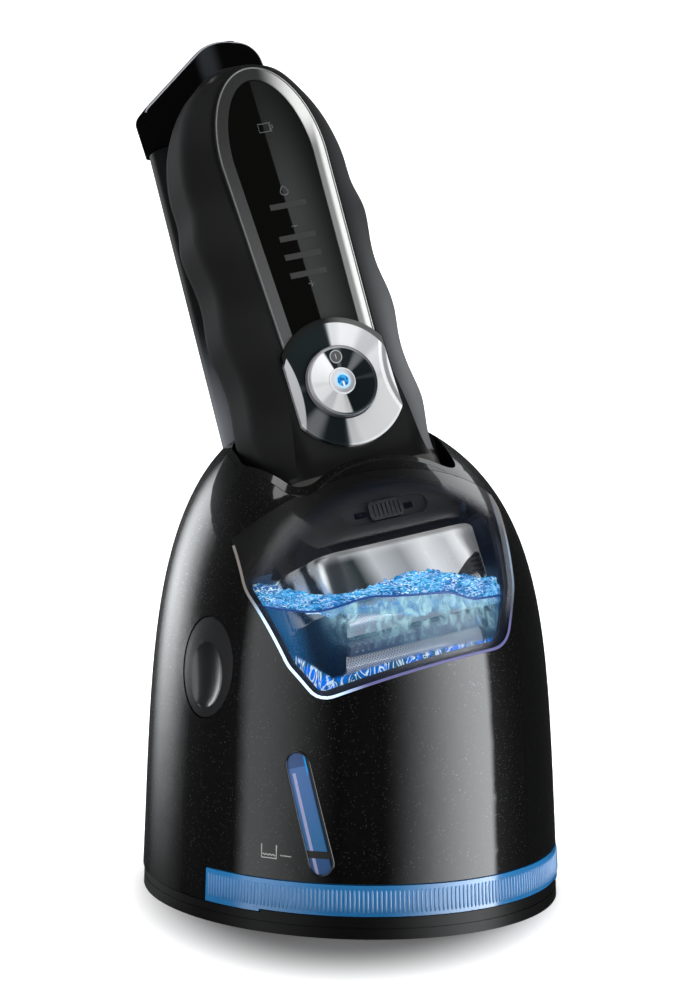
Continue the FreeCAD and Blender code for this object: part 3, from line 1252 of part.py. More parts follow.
# ================================================================ build
def build():
    save("base_plate", make_base_plate())
    save("rubber_feet", make_feet())
    save("base_screws", make_base_screws())
    save("guide_posts", make_guide_posts())
    save("lift_springs", make_springs())
    save("cartridge_tank", make_tank())
    save("cartridge_lid", make_lid())
    save("cartridge_filter", make_filter())
    save("cartridge_fluid", make_tank_fluid())

    save("dome_shell", make_dome())
    save("chamber_window", make_chamber_window())
    save("opening_rim", make_opening_rim())
    save("level_window", make_level_window())
    save("level_bar", make_level_bar())
    save("lift_button", make_lift_button())
    save("latch_slide", make_latch())

    save("chassis", make_chassis())
    save("pump_housing", make_pump_housing())
    save("pump_motor", make_pump_motor())
    save("pump_impeller", make_impeller())
    save("intake_tube", make_intake_tube())
    save("outlet_tube", make_outlet_tube())
    save("drain_tube", make_drain_tube())
    save("circuit_board", make_circuit_board())
    save("power_socket", make_power_socket())
    save("socket_pins", make_socket_pins())

    save("wash_basin", make_basin())
    save("cleaning_fluid", make_fluid())

    front, back = make_arm()
    save("arm_front_cover", front)
    save("arm_back_cover", back)
    save("arm_cap", make_cap())
    save("start_button", make_start_button())
    save("contact_block", make_contact_block())
    save("contact_pins", make_contact_pins())

    names = ("grip_left", "grip_right", "handle_front", "handle_back", "neck")
    for name, shape in zip(names, make_handle()):
        save(name, docked(shape))
    save("head_lock_slider", make_lock_slider())
    save("display_frame", make_display_frame())
    save("display_panel", make_display_panel())
    save("button_surround", make_surround())
    for name, shape in zip(("power_button", "button_lens", "button_led"), make_power_button()):
        save(name, shape)
    names = ("shaver_battery", "shaver_drive", "drive_pin", "shaver_board")
    for name, shape in zip(names, make_handle_insides()):
        save(name, shape)

    save("head_frame", make_head_frame())
    save("head_core", make_head_core())
    save("release_button", make_release_button())
    save("cassette_frame", make_cassette())
    for name, along in (("front", 0.0), ("rear", FOIL_PITCH)):
        foil, cutter = make_foil(along)
        save("foil_" + name, foil)
        save("cutter_" + name, cutter)
    save("middle_trimmer", make_middle_trimmer())


build()
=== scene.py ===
"""Looks for a shaver cleaning station: black dome, wash chamber with a painted glow in its fluid,
and docked shaver.

Lengths in the classes are millimetres unless the class says metres. The dock frame has x
across the shaver, n out of its face and u along it towards the tail.
"""

import functools
import logging
import math
import random
from dataclasses import dataclass, field
from enum import Enum
from typing import Any, Callable, Iterable, Sequence

import bmesh
import bpy
from mathutils import Matrix, Vector, noise


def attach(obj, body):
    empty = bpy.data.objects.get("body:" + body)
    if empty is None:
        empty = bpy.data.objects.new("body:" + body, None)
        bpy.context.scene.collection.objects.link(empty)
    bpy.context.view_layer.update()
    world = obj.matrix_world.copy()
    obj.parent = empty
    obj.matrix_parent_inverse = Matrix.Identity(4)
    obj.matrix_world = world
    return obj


LOG = logging.getLogger("cleaning_station")
MM = 0.001
Colour = tuple[float, float, float]
Point2 = tuple[float, float]
Point3 = tuple[float, float, float]
Corner = tuple[float, float, float]

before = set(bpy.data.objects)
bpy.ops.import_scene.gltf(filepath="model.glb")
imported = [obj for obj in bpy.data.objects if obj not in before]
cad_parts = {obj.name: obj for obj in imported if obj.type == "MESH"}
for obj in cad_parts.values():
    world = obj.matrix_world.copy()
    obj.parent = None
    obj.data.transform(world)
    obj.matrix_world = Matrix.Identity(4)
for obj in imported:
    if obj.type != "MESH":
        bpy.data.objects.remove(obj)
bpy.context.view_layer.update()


# ------------------------------------------------------------------ places
@dataclass(frozen=True)
class DockFrame:
    """The leaning frame that the shaver, its arm and the basin are drawn in."""

    origin: Point3 = (-3.6, -1.4, 121.3)
    lean_back: float = 22.0
    lean_left: float = 8.3
    turn_left: float = 3.0

    def turn(self) -> Matrix:
        """Rotation from dock axes (x, -n, u) to the row frame."""
        back = Matrix.Rotation(math.radians(-self.lean_back), 3, "X")
        left = Matrix.Rotation(math.radians(-self.lean_left), 3, "Y")
        return back @ left @ Matrix.Rotation(math.radians(-self.turn_left), 3, "Z")

    def point(self, x: float, n: float, u: float) -> Vector:
        """Row frame position, in metres, of a dock position in millimetres."""
        return (Vector(self.origin) + self.turn() @ Vector((x, -n, u))) * MM

    def axis(self, x: float, n: float, u: float) -> Vector:
        """Row frame direction of a dock direction."""
        return (self.turn() @ Vector((x, -n, u))).normalized()


DOCK = DockFrame()
DOCK_AXES = {"x": (1, 0, 0), "n": (0, 1, 0), "u": (0, 0, 1)}


@dataclass(frozen=True)
class DomeForm:
    """The housing's outer surface as a formula."""

    half_x: float = 58.2
    half_y: float = 68.3
    height: float = 136.5
    draft: float = 0.102
    shoulder: float = 4.75
    roundness: float = 2.31
    top_back: float = 12.0

    def scale(self, z: float) -> float:
        """Share of the base's width that the dome has at height z."""
        t = min(max(z, 0.0) / self.height, 1.0)
        return (1 - self.draft * t) * (1 - t**self.shoulder) ** (1 / self.roundness)

    def back(self, z: float) -> float:
        """How far the dome's middle lies behind the axis at height z."""
        return self.top_back * (max(z, 0.0) / self.height) ** 8

    def inside(self, p: Vector, inset: float = 0.0) -> bool:
        """Whether a position in millimetres lies inside the dome.

        Args:
            p: position in the row frame.
            inset: how far inside the outer surface counts as inside.

        Returns:
            True inside.
        """
        if p.z >= self.height - inset:
            return False
        k = self.scale(p.z)
        y = p.y - self.back(p.z)
        a, b = self.half_x * k - inset, self.half_y * k - inset
        return a > 0 and b > 0 and (p.x / a) ** 2 + (y / b) ** 2 <= 1

    def around(self, angle: float, z: float, proud: float = 0.0) -> Vector:
        """Point on the side, angle degrees from the front towards the left.

        Args:
            angle: degrees round from the front.
            z: height.
            proud: distance outside the surface.

        Returns:
            The position in metres.
        """
        a, k = math.radians(angle), self.scale(z)
        reach = 1 / math.hypot(math.sin(a) / (self.half_x * k), math.cos(a) / (self.half_y * k))
        out = Vector((-math.sin(a), -math.cos(a), 0))
        return (out * (reach + proud) + Vector((0, self.back(z), z))) * MM

    def share(self, g: "Graph") -> "Wire":
        """Distance from the axis as a share of the dome's, 1 on its surface."""
        x, y = g.along(Vector((1, 0, 0))), g.along(Vector((0, 1, 0)))
        t = g.along(Vector((0, 0, 1))) * (1 / self.height)
        k = (1 - t * self.draft) * (1 - t ** self.shoulder) ** (1 / self.roundness)
        y = (y - (t ** 8.0) * self.top_back) / (k * self.half_y)
        x = x / (k * self.half_x)
        return (x * x + y * y) ** 0.5

    def below_dock(self, x: float, u: float, inset: float = 0.0) -> Vector:
        """Where a line along the dock's n axis meets the dome.

        Args:
            x: dock position across.
            u: dock position along.
            inset: distance inside the outer surface.

        Returns:
            The position in metres.
        """
        inner, outer = 0.0, 80.0
        for _ in range(40):
            middle = (inner + outer) / 2
            if self.inside(DOCK.point(x, middle, u) / MM, inset):
                inner = middle
            else:
                outer = middle
        return DOCK.point(x, inner, u)


DOME = DomeForm()


@dataclass(frozen=True)
class WallFrame:
    """Flat axes on the dome's side, for what is set into it."""

    angle: float
    z: float
    slant: float = 0.0

    def centre(self) -> Vector:
        """Middle of the frame, in metres."""
        return DOME.around(self.angle, self.z)

    def outward(self) -> Vector:
        """Direction straight out of the wall."""
        p = self.centre()
        return Vector((p.x / DOME.half_x**2, p.y / DOME.half_y**2, 0)).normalized()

    def axes(self) -> tuple[Vector, Vector]:
        """Directions to the right and upward, turned by the slant."""
        out = self.outward()
        right, up = Vector((-out.y, out.x, 0)), Vector((0, 0, 1))
        s, c = math.sin(math.radians(self.slant)), math.cos(math.radians(self.slant))
        return right * c + up * s, up * c - right * s

    def on_dome(self, across: float, along: float, proud: float = 0.0) -> Vector:
        """Point on the dome over a position in the frame.

        Args:
            across: millimetres to the right.
            along: millimetres upward.
            proud: distance outside the surface.

        Returns:
            The position in metres.
        """
        right, up = self.axes()
        p = self.centre() / MM + right * across + up * along
        sweep_angle = math.degrees(math.atan2(-p.x, -p.y))
        return DOME.around(sweep_angle, p.z, proud)


LEVEL_FRAME = WallFrame(33.8, 33.7, 15.0)
FLUID_TOP = 88.0


# ------------------------------------------------------------------ shader layer
class Wire:
    """A socket in a material, that arithmetic adds Math nodes to."""

    def __init__(self, graph: "Graph", socket: bpy.types.NodeSocket) -> None:
        """Wrap a node's output socket."""
        self.graph, self.socket = graph, socket

    def _math(self, operation: str, other: Any, swap: bool = False) -> "Wire":
        """Math node of this and another value, in either order."""
        first, second = (other, self) if swap else (self, other)
        return self.graph.node("Math", {"operation": operation}, {0: first, 1: second})

    def __add__(self, other: Any) -> "Wire":
        """Sum."""
        return self._math("ADD", other)

    __radd__ = __add__

    def __sub__(self, other: Any) -> "Wire":
        """Difference."""
        return self._math("SUBTRACT", other)

    def __rsub__(self, other: Any) -> "Wire":
        """Difference with this value taken away."""
        return self._math("SUBTRACT", other, True)

    def __mul__(self, other: Any) -> "Wire":
        """Product."""
        return self._math("MULTIPLY", other)

    __rmul__ = __mul__

    def __truediv__(self, other: Any) -> "Wire":
        """Quotient."""
        return self._math("DIVIDE", other)

    def __pow__(self, other: float) -> "Wire":
        """Power."""
        return self._math("POWER", other)

    def __lt__(self, other: Any) -> "Wire":
        """1 where this is less than the other, and 0 elsewhere."""
        return self._math("LESS_THAN", other)

    def __gt__(self, other: Any) -> "Wire":
        """1 where this is more than the other, and 0 elsewhere."""
        return self._math("GREATER_THAN", other)

    def ramp(self, low: float, high: float) -> "Wire":
        """Smooth step from 0 at low to 1 at high."""
        settings = {"interpolation_type": "SMOOTHSTEP"}
        return self.graph.node("MapRange", settings, {0: self, 1: low, 2: high})

    def fall(self, low: float, high: float) -> "Wire":
        """Smooth step from 1 at low to 0 at high."""
        return 1 - self.ramp(low, high)

    def band(self, low: float, full: float, until: float, high: float) -> "Wire":
        """1 from full to until, with a smooth step at each side."""
        return self.ramp(low, full) * self.fall(until, high)

    def clamped(self) -> "Wire":
        """Kept from 0 to 1."""
        return self.graph.node("Clamp", {}, {0: self})

    def above_zero(self) -> "Wire":
        """0 where this is negative."""
        return self._math("MAXIMUM", 0.0)

    def wave(self, operation: str) -> "Wire":
        """SINE, ABSOLUTE or another Math operation of one value."""
        return self.graph.node("Math", {"operation": operation}, {0: self})


class Graph:
    """One material under construction, with its Principled shader."""

    def __init__(self, name: str) -> None:
        """Start an empty material."""
        self.material = bpy.data.materials.new(name)
        self.material.use_nodes = True
        self.tree = self.material.node_tree
        self.tree.nodes.clear()
        self.shader = self.tree.nodes.new("ShaderNodeBsdfPrincipled")
        output = self.tree.nodes.new("ShaderNodeOutputMaterial")
        self.tree.links.new(self.shader.outputs[0], output.inputs[0])

    def set(self, socket: bpy.types.NodeSocket, value: Any) -> None:
        """Give a socket a link or a constant."""
        if isinstance(value, Wire):
            self.tree.links.new(value.socket, socket)
        elif socket.type == "RGBA" and len(value) == 3:
            socket.default_value = (*value, 1.0)
        else:
            socket.default_value = value

    def node(self, kind: str, settings: dict[str, Any] | None = None,
             inputs: dict[Any, Any] | None = None, output: Any = 0) -> Wire:
        """Add a node.

        Args:
            kind: node type without its ShaderNode prefix.
            settings: node attributes, and stops for a colour ramp.
            inputs: values or links by socket name or number.
            output: which output to return.

        Returns:
            The chosen output.
        """
        made = self.tree.nodes.new("ShaderNode" + kind)
        for name, value in (settings or {}).items():
            if name == "stops":
                ramp = made.color_ramp
                while len(ramp.elements) < len(value):
                    ramp.elements.new(1.0)
                for element, (place, colour) in zip(ramp.elements, value):
                    element.position, element.color = place, (*colour, 1.0)
            else:
                setattr(made, name, value)
        for name, value in (inputs or {}).items():
            self.set(made.inputs[name], value)
        return Wire(self, made.outputs[output])

    def place(self) -> Wire:
        """Position in the row frame at rest, in metres."""
        return self.node("TexCoord", output="Object")

    def along(self, axis: Vector, origin: Vector = Vector()) -> Wire:
        """Distance from origin along an axis, in millimetres."""
        turned = {0: self.place(), 1: tuple(axis)}
        dot = self.node("VectorMath", {"operation": "DOT_PRODUCT"}, turned, "Value")
        return (dot - axis.dot(origin)) * (1 / MM)

    def dock(self, names: str = "xu", x: float = 0.0, u: float = 0.0) -> list[Wire]:
        """Positions along the named dock axes, from a place (x, u)."""
        return [self.along(DOCK.axis(*DOCK_AXES[name]), DOCK.point(x, 0, u)) for name in names]

    def noise(self, size: float, detail: float = 2.0, stretch: Point3 = (1, 1, 1),
              warp: float = 0.0) -> Wire:
        """Noise from 0 to 1 with features of a size in millimetres."""
        scaled = self.node("VectorMath", {"operation": "MULTIPLY"},
                           {0: self.place(), 1: stretch})
        return self.node("TexNoise", {}, {"Vector": scaled, "Scale": 1 / (size * MM),
                                          "Detail": detail, "Distortion": warp})

    def vein(self, size: float, detail: float, stretch: Point3, warp: float,
             narrow: float) -> Wire:
        """Thin lines, 1 along their middle, where the noise crosses its mean."""
        across = (self.noise(size, detail, stretch, warp) - 0.5).wave("ABSOLUTE")
        return 1 - across * narrow

    def cells(self, size: float, output: str = "Distance") -> Wire:
        """Voronoi cells of a size in millimetres."""
        inputs = {"Vector": self.place(), "Scale": 1 / (size * MM)}
        return self.node("TexVoronoi", {}, inputs, output)

    def mix(self, share: Any, low: Any, high: Any) -> Wire:
        """Colour between two colours."""
        inputs = {"Factor": share, 6: low, 7: high}
        return self.node("Mix", {"data_type": "RGBA"}, inputs, 2)

    def bump(self, height: Wire, depth: float, strength: float = 1.0) -> Wire:
        """Normal from a height that is depth millimetres at 1."""
        return self.node("Bump", {}, {"Height": height, "Distance": depth * MM,
                                      "Strength": strength})

    def surface(self, **sockets: Any) -> bpy.types.Material:
        """Set the Principled shader's sockets.

        Args:
            **sockets: socket names with underscores for spaces.

        Returns:
            The finished material.
        """
        for name, value in sockets.items():
            self.set(self.shader.inputs[name.replace("_", " ").title().replace("Ior", "IOR")],
                     value)
        return self.material

    def glowing(self, colour: Wire, strength: float, **sockets: Any) -> bpy.types.Material:
        """Surface that also glows a little in its own colour, as painted light where the part is
        no lamp.
        """
        return self.surface(base_color=colour, emission_color=colour,
                            emission_strength=strength, **sockets)


# ------------------------------------------------------------------ finishes
@dataclass(frozen=True)
class Moulded:
    """Moulded plastic or rubber with a fine grain."""

    name: str
    colour: Colour
    roughness: float = 0.5
    grain: float = 0.35
    depth: float = 0.01
    coat: float = 0.0
    cloud: float = 0.25
    shine: float = 0.5

    def build(self) -> bpy.types.Material:
        """Grain and slight cloudiness."""
        g = Graph(self.name)
        cloud, grain = g.noise(14.0, 3.0), g.noise(self.grain, 2.0)
        dark = tuple(c * (1 - self.cloud) for c in self.colour)
        light = tuple(min(c * (1 + self.cloud) + 0.002, 1) for c in self.colour)
        rough = cloud * 0.1 + grain * 0.06 + (self.roughness - 0.08)
        return g.surface(base_color=g.mix(cloud, dark, light), roughness=rough,
                         coat_weight=self.coat, coat_roughness=0.06,
                         specular_ior_level=self.shine, normal=g.bump(grain, self.depth))


@dataclass(frozen=True)
class SoftGrip:
    """Soft touch rubber with a painted sheen that greys it towards the side which the light
    rakes.
    """

    name: str
    dark: Colour = (0.0098, 0.0100, 0.0104)
    painted_sheen: Colour = (0.38, 0.39, 0.41)

    def build(self) -> bpy.types.Material:
        """Painted sheen, grey by place across the shaver, with a fine grain."""
        g = Graph(self.name)
        x, u, n = g.dock("xun")
        grain, cloud = g.noise(0.22, 2.0), g.noise(16.0, 3.0)
        low = u.fall(22.0, 74.0)
        # Painted sheen: grey on the right side and brighter along its outer edge, strongest low
        # down.
        side = x.ramp(13.0, 22.0) * (1 - u.ramp(78.0, 112.0) * 0.8) * (low * 0.32 + 0.09)
        edge = x.ramp(18.0, 23.0) * n.fall(4.0, 15.0) * (low * 0.5 + 0.2)
        pads = (u * 0.19 + x * 0.05 + 1.4).wave("SINE").ramp(-0.9, 1.0) * x.fall(-8.0, 0.0)
        colour = g.mix(side + edge + pads * 0.009, self.dark, self.painted_sheen)
        return g.surface(base_color=g.mix(cloud * 0.3, colour, (0.004, 0.004, 0.004)),
                         roughness=grain * 0.06 + 0.6, specular_ior_level=0.04,
                         normal=g.bump(grain, 0.006))


@dataclass(frozen=True)
class ArmGloss:
    """Dark arm cover with a painted sheen that greys its lower side where the light rakes it."""

    name: str
    dark: Colour = (0.0052, 0.0053, 0.0057)
    painted_sheen: Colour = (0.20, 0.21, 0.235)

    def build(self) -> bpy.types.Material:
        """Painted sheen, grey low on the left side, and nearly black elsewhere."""
        g = Graph(self.name)
        x, u = g.dock()
        # Painted sheen low on the arm's left side.
        low = u.fall(16.0, 54.0) * x.fall(-20.0, -16.0)
        cloud = g.noise(16.0, 3.0)
        return g.surface(base_color=g.mix(low * (cloud * 0.3 + 0.7), self.dark, self.painted_sheen),
                         roughness=cloud * 0.1 + 0.4, specular_ior_level=0.04)


@dataclass(frozen=True)
class CapGloss:
    """Black cap with a painted soft grey sheen under its top."""

    name: str

    def build(self) -> bpy.types.Material:
        """Black with one painted sheen patch by place."""
        g = Graph(self.name)
        x, u = g.dock()
        # Painted sheen under the cap's top.
        patch = x.band(-1.5, 2.0, 3.5, 8.0) * u.ramp(119.0, 128.0)
        dull = g.noise(5.0, 2.0)
        colour = g.mix(patch * 0.55, (0.0022, 0.0022, 0.0022), (0.045, 0.050, 0.056))
        return g.surface(base_color=colour, roughness=dull * 0.05 + 0.3,
                         specular_ior_level=0.0)


@dataclass(frozen=True)
class Sparkle:
    """High gloss black lacquer with a metallic fleck."""

    name: str
    colour: Colour = (0.0024, 0.0023, 0.0022)
    fleck: Colour = (0.055, 0.057, 0.062)
    size: float = 0.34
    share: float = 0.93

    def flecks(self, g: Graph) -> Wire:
        """Mask of the few cells that hold a bright flake."""
        pick = g.cells(self.size, "Color")
        part = g.node("SeparateColor", {}, {"Color": pick}, 0)
        return (part > self.share) * (g.cells(self.size) < 0.42) * g.noise(6.0).ramp(0.2, 0.75)

    def build(self) -> bpy.types.Material:
        """Black base, flakes under a clear coat."""
        g = Graph(self.name)
        mask = self.flecks(g)
        return g.surface(base_color=g.mix(mask, self.colour, self.fleck),
                         roughness=0.36 - mask * 0.1 + g.noise(20.0) * 0.05,
                         metallic=mask * 0.7, coat_weight=0.7, coat_roughness=0.05,
                         specular_ior_level=0.05)


@dataclass(frozen=True)
class Metal:
    """Plated or brushed metal, with streaks along one direction."""

    name: str
    colour: Colour = (0.62, 0.63, 0.65)
    roughness: float = 0.25
    stretch: Point3 = (1, 1, 1)
    streak: float = 0.6
    strength: float = 0.25
    metallic: float = 1.0

    def build(self) -> bpy.types.Material:
        """Streaks in colour, roughness and height."""
        g = Graph(self.name)
        streaks = g.noise(self.streak, 3.0, self.stretch)
        dark = tuple(c * 0.82 for c in self.colour)
        rough = streaks * 0.14 + (self.roughness - 0.07)
        return g.surface(base_color=g.mix(streaks, dark, self.colour), metallic=self.metallic,
                         roughness=rough, normal=g.bump(streaks, 0.01, self.strength))


class Side(Enum):
    """Which side of a spun dish has the bright painted reflection."""

    LEFT = -1.0
    RIGHT = 1.0


@dataclass(frozen=True)
class SpunDish:
    """Dished chrome with a painted reflection, a bright and a dark side, as a turned part mirrors
    the room.
    """

    name: str
    bright: Side
    upper: float
    lower: float
    centre_u: float = 20.2

    def polar(self, g: Graph) -> tuple[Wire, Wire, Wire, Wire]:
        """Position round the button: x, u, radius and angle."""
        x, u = g.dock(u=self.centre_u)
        angle = g.node("Math", {"operation": "ARCTAN2"}, {0: x, 1: u})
        return x, u, (x * x + u * u) ** 0.5, angle

    def halves(self, g: Graph) -> Wire:
        """Painted reflection: bright side with radial streaks against the dark one."""
        x, u, radius, angle = self.polar(g)
        above = u.ramp(-0.5, 0.5)
        lean = above * self.upper + (1 - above) * self.lower
        side = ((x / radius - lean) * self.bright.value).ramp(-0.05, 0.05)
        # Painted highlight sectors fanning round the dish.
        fan = (angle * 5.0 + 0.6).wave("SINE") * (angle * 3.0 + 2.1).wave("SINE")
        dark = g.mix(fan.ramp(0.2, 1.0) * 0.22, (0.004, 0.008, 0.009), (0.55, 0.56, 0.57))
        light = g.mix(fan.ramp(0.1, 0.9), (0.70, 0.70, 0.705), (0.50, 0.50, 0.51))
        return g.mix(side, dark, light)

    def finish(self, g: Graph, colour: Wire) -> bpy.types.Material:
        """Chrome in which the painted room shows as much as the real one."""
        return g.glowing(colour, 0.22, metallic=0.8, roughness=g.noise(8.0) * 0.05 + 0.26)

    def build(self) -> bpy.types.Material:
        """The button's own dish, with painted light and shade on its wall in grey."""
        g = Graph(self.name)
        x, u, radius, _ = self.polar(g)
        colour = self.halves(g)
        wall = radius.ramp(9.35, 9.6)
        # Painted light and shade across the dish's wall, lighter towards its upper left.
        shade = ((x - u) * 0.07).ramp(-0.7, 0.8)
        grey = g.mix(shade, (0.36, 0.36, 0.37), (0.02, 0.025, 0.028))
        return self.finish(g, g.mix(wall, colour, grey))


@dataclass(frozen=True)
class SpunSurround(SpunDish):
    """The dish round the button, with painted reflections in its scooped sides and a smoked upper
    rim.
    """

    scoop_r: float = 30.0
    scoop_x: float = 42.6
    scoop_u: float = -0.5
    blend: float = 0.15
    rim_r: float = 17.2

    def scoop(self, across: Wire, u: Wire) -> Wire:
        """Distance from a scoop's middle."""
        up = u - self.scoop_u
        return (across * across + up * up) ** 0.5

    def build(self) -> bpy.types.Material:
        """Painted reflections in the dish and in the scoops at both sides, and the smoked rim
        over the top.
        """
        g = Graph(self.name)
        x, u, radius, _ = self.polar(g)
        colour = self.halves(g)
        left, right = self.scoop(x + self.scoop_x, u), self.scoop(x - self.scoop_x, u)
        soft = self.scoop_r - self.blend, self.scoop_r + self.blend
        # Painted reflection: flat grey in the left scoop and bright ripples in the right one.
        colour = g.mix(left.fall(*soft), colour, (0.42, 0.42, 0.43))
        hollow = right.fall(*soft)
        wave = (right * 2.6).wave("SINE").ramp(-0.6, 0.8)
        colour = g.mix(hollow, colour, g.mix(wave, (0.30, 0.30, 0.31), (0.95, 0.95, 0.95)))
        smoke = (radius.ramp(self.rim_r - 0.1, self.rim_r + 0.1)
                 * (u + x * 0.25).ramp(3.0, 4.5))
        smoked = g.mix(x.ramp(-1.0, 6.0), (0.006, 0.006, 0.006), (0.10, 0.10, 0.10))
        return self.finish(g, g.mix(smoke, colour, smoked))


@dataclass(frozen=True)
class DisplayGlass:
    """Black display pane with a painted reflection that greys one half along its length."""

    name: str

    def build(self) -> bpy.types.Material:
        """Painted reflection tone that meets the black in a crisp line down the middle."""
        g = Graph(self.name)
        x, u = g.dock()
        # Painted reflection right of the middle line, fading towards the right edge and the tail.
        half = (x + u * 0.002).ramp(-0.5, -0.1) * (1 - x.ramp(1.0, 14.0) * 0.92)
        tone = half * (1 - u.ramp(70.0, 112.0) * 0.75)
        return g.surface(base_color=g.mix(tone, (0.0015, 0.0015, 0.0012), (0.040, 0.042, 0.042)),
                         roughness=g.noise(9.0) * 0.04 + 0.12, specular_ior_level=0.03)


@dataclass(frozen=True)
class Pane:
    """Chamber window that clears downward from the housing's own lacquer."""

    name: str
    solid_u: float = -10.5
    clear_u: float = -18.0
    lowest: float = 0.10
    middle_x: float = -6.0
    arch: float = 0.0115
    edge: Point2 = (33.0, -25.5)
    edge_slope: float = 0.255
    bend_u: float = -49.0
    bend_slope: float = 0.27

    def build(self) -> bpy.types.Material:
        """Lacquer with flecks at the top, tinted and clear below, and a painted highlight along
        the right edge.
        """
        g = Graph(self.name)
        lacquer = Sparkle(self.name)
        x, u = g.dock(x=self.middle_x)
        reach = (u + x * x * self.arch).ramp(self.clear_u, self.solid_u)
        mask = lacquer.flecks(g) * reach
        tint = g.mix(reach, (0.014, 0.020, 0.034), lacquer.colour)
        bend = (self.bend_u - u).above_zero()
        edge_x, edge_u = self.edge
        side = x + self.middle_x - (edge_x + (u - edge_u) * self.edge_slope
                                    - bend * self.bend_slope)
        # Painted highlight strip along the window's right edge, partly opaque.
        strip = side.ramp(-2.9, -2.3) * u.fall(-20.0, -12.0) * u.ramp(-62.0, -50.0)
        tint = g.mix(strip, tint, (0.17, 0.19, 0.23))
        return g.surface(base_color=g.mix(mask, tint, lacquer.fleck),
                         alpha=(reach * (1 - self.lowest) + self.lowest + strip * 0.55).clamped(),
                         roughness=g.noise(15.0) * 0.05 + 0.34, metallic=mask * 0.7,
                         coat_weight=0.7, coat_roughness=0.05, specular_ior_level=0.25)


@dataclass(frozen=True)
class Water:
    """Cleaning fluid with a painted glow: light veins in deep and bright blue."""

    name: str
    alpha: float
    deep: Colour = (0.0, 0.045, 0.26)
    bright: Colour = (0.03, 0.36, 0.95)
    foam: Colour = (0.78, 0.93, 1.0)
    size: float = 7.0
    glow: float = 0.55
    foam_from: float = 0.68

    def build(self) -> bpy.types.Material:
        """Warped noise for swirls, thin bright veins and the painted glow."""
        g = Graph(self.name)
        swirl = g.noise(self.size, 4.0, warp=2.4)
        vein = g.vein(self.size * 0.8, 3.0, (1, 1, 1), 3.2, 14.0)
        body = g.mix(swirl.ramp(0.34, 0.64), self.deep, self.bright)
        crest = swirl.ramp(self.foam_from, self.foam_from + 0.1)
        white = (vein.ramp(0.45, 1.0) * 0.7 + crest).clamped()
        colour = g.mix(white, body, self.foam)
        dense = swirl * 0.3 + white * 0.35 + (self.alpha - 0.15)
        return g.glowing(colour, self.glow, roughness=swirl * 0.1 + 0.04, alpha=dense.clamped(),
                         normal=g.bump(swirl, 0.8))


@dataclass(frozen=True)
class Bath:
    """Body of cleaning fluid with a painted glow: milky streaks under the surface and swirls at
    the bottom.
    """

    name: str
    low_u: float = -61.8
    corner_x: float = -31.0
    deep: Colour = (0.001, 0.040, 0.120)
    teal: Colour = (0.005, 0.095, 0.250)
    milk: Colour = (0.36, 0.60, 0.66)
    vivid: Colour = (0.0, 0.16, 0.78)
    foam: Colour = (0.72, 0.90, 1.0)

    def build(self) -> bpy.types.Material:
        """Zones by depth, by side and by nearness to the window."""
        g = Graph(self.name)
        x, u = g.dock()
        sunk = g.along(Vector((0, 0, -1)), Vector((0, 0, FLUID_TOP * MM)))
        front = DOME.share(g).ramp(0.885, 0.915)
        left, right = x.fall(-38.5, -33.0), x.ramp(19.0, 24.0)
        tint = g.mix(sunk.ramp(3.0, 24.0), self.teal, self.deep)
        streak = g.noise(2.8, 3.0, (1, 1, 0.6), 0.8).ramp(0.32, 0.70)
        haze = sunk.fall(1.0, 13.0) * x.band(-33.0, -24.0, 17.0, 24.0)
        milk = haze * front * (streak * 0.7 + 0.3)
        swirl = g.noise(6.0, 3.0, (1, 1, 0.6), 2.2)
        vein = g.vein(4.6, 2.0, (1, 1, 0.5), 2.8, 11.0)
        rise = (self.corner_x - x).above_zero()
        low = (u - self.low_u - rise * 1.35).fall(-0.8, 0.8) * front
        bottom = g.mix(swirl.ramp(0.36, 0.58), self.teal, self.vivid)
        bottom = g.mix(vein.ramp(0.3, 1.0) * 0.9, bottom, self.foam)
        colour = g.mix(low, g.mix(milk, tint, self.milk), bottom)
        dense = milk * 0.72 + low * 0.95 + (left + right * 0.7) * front * 0.85 + 0.07
        return g.glowing(colour, 0.72, roughness=swirl * 0.1 + 0.04, specular_ior_level=0.1,
                         alpha=dense.clamped())


@dataclass(frozen=True)
class Foam:
    """Sparkling foam with a painted glow: fine white and dark flecks in bright blue."""

    name: str

    def build(self) -> bpy.types.Material:
        """Blue body with fine flecks of two sizes."""
        g = Graph(self.name)
        stretch = (0.6, 0.6, 1.5)
        body = g.mix(g.noise(6.0, 3.0, stretch, 1.2).ramp(0.38, 0.62), (0.0, 0.17, 0.52),
                     (0.04, 0.40, 0.80))
        fine = g.noise(0.85, 3.0, stretch, 1.6)
        patch = g.noise(5.0, 2.0, stretch).ramp(0.40, 0.64)
        colour = g.mix(fine.ramp(0.53, 0.60) * (patch * 0.6 + 0.4), body, (0.85, 0.95, 1.0))
        colour = g.mix(fine.fall(0.38, 0.46) * 0.85, colour, (0.0, 0.06, 0.17))
        return g.glowing(colour, 0.62, roughness=fine * 0.2 + 0.2, specular_ior_level=0.3,
                         normal=g.bump(fine, 0.25))


@dataclass(frozen=True)
class TintedBand:
    """Translucent blue plastic, coloured by height, with a faint painted glow."""

    name: str
    stops: tuple[tuple[float, Colour], ...]
    z_low: float = 5.0
    z_high: float = 15.0
    glow: float = 0.08

    def build(self) -> bpy.types.Material:
        """Bands by height with slight flow marks."""
        g = Graph(self.name)
        share = g.along(Vector((0, 0, 1 / (self.z_high - self.z_low))),
                        Vector((0, 0, self.z_low * MM * (self.z_high - self.z_low))))
        share = share + g.noise(4.0) * 0.05
        colour = g.node("ValToRGB", {"stops": self.stops}, {0: share})
        return g.glowing(colour, self.glow, roughness=g.noise(2.0) * 0.08 + 0.14, coat_weight=0.4,
                         coat_roughness=0.05)


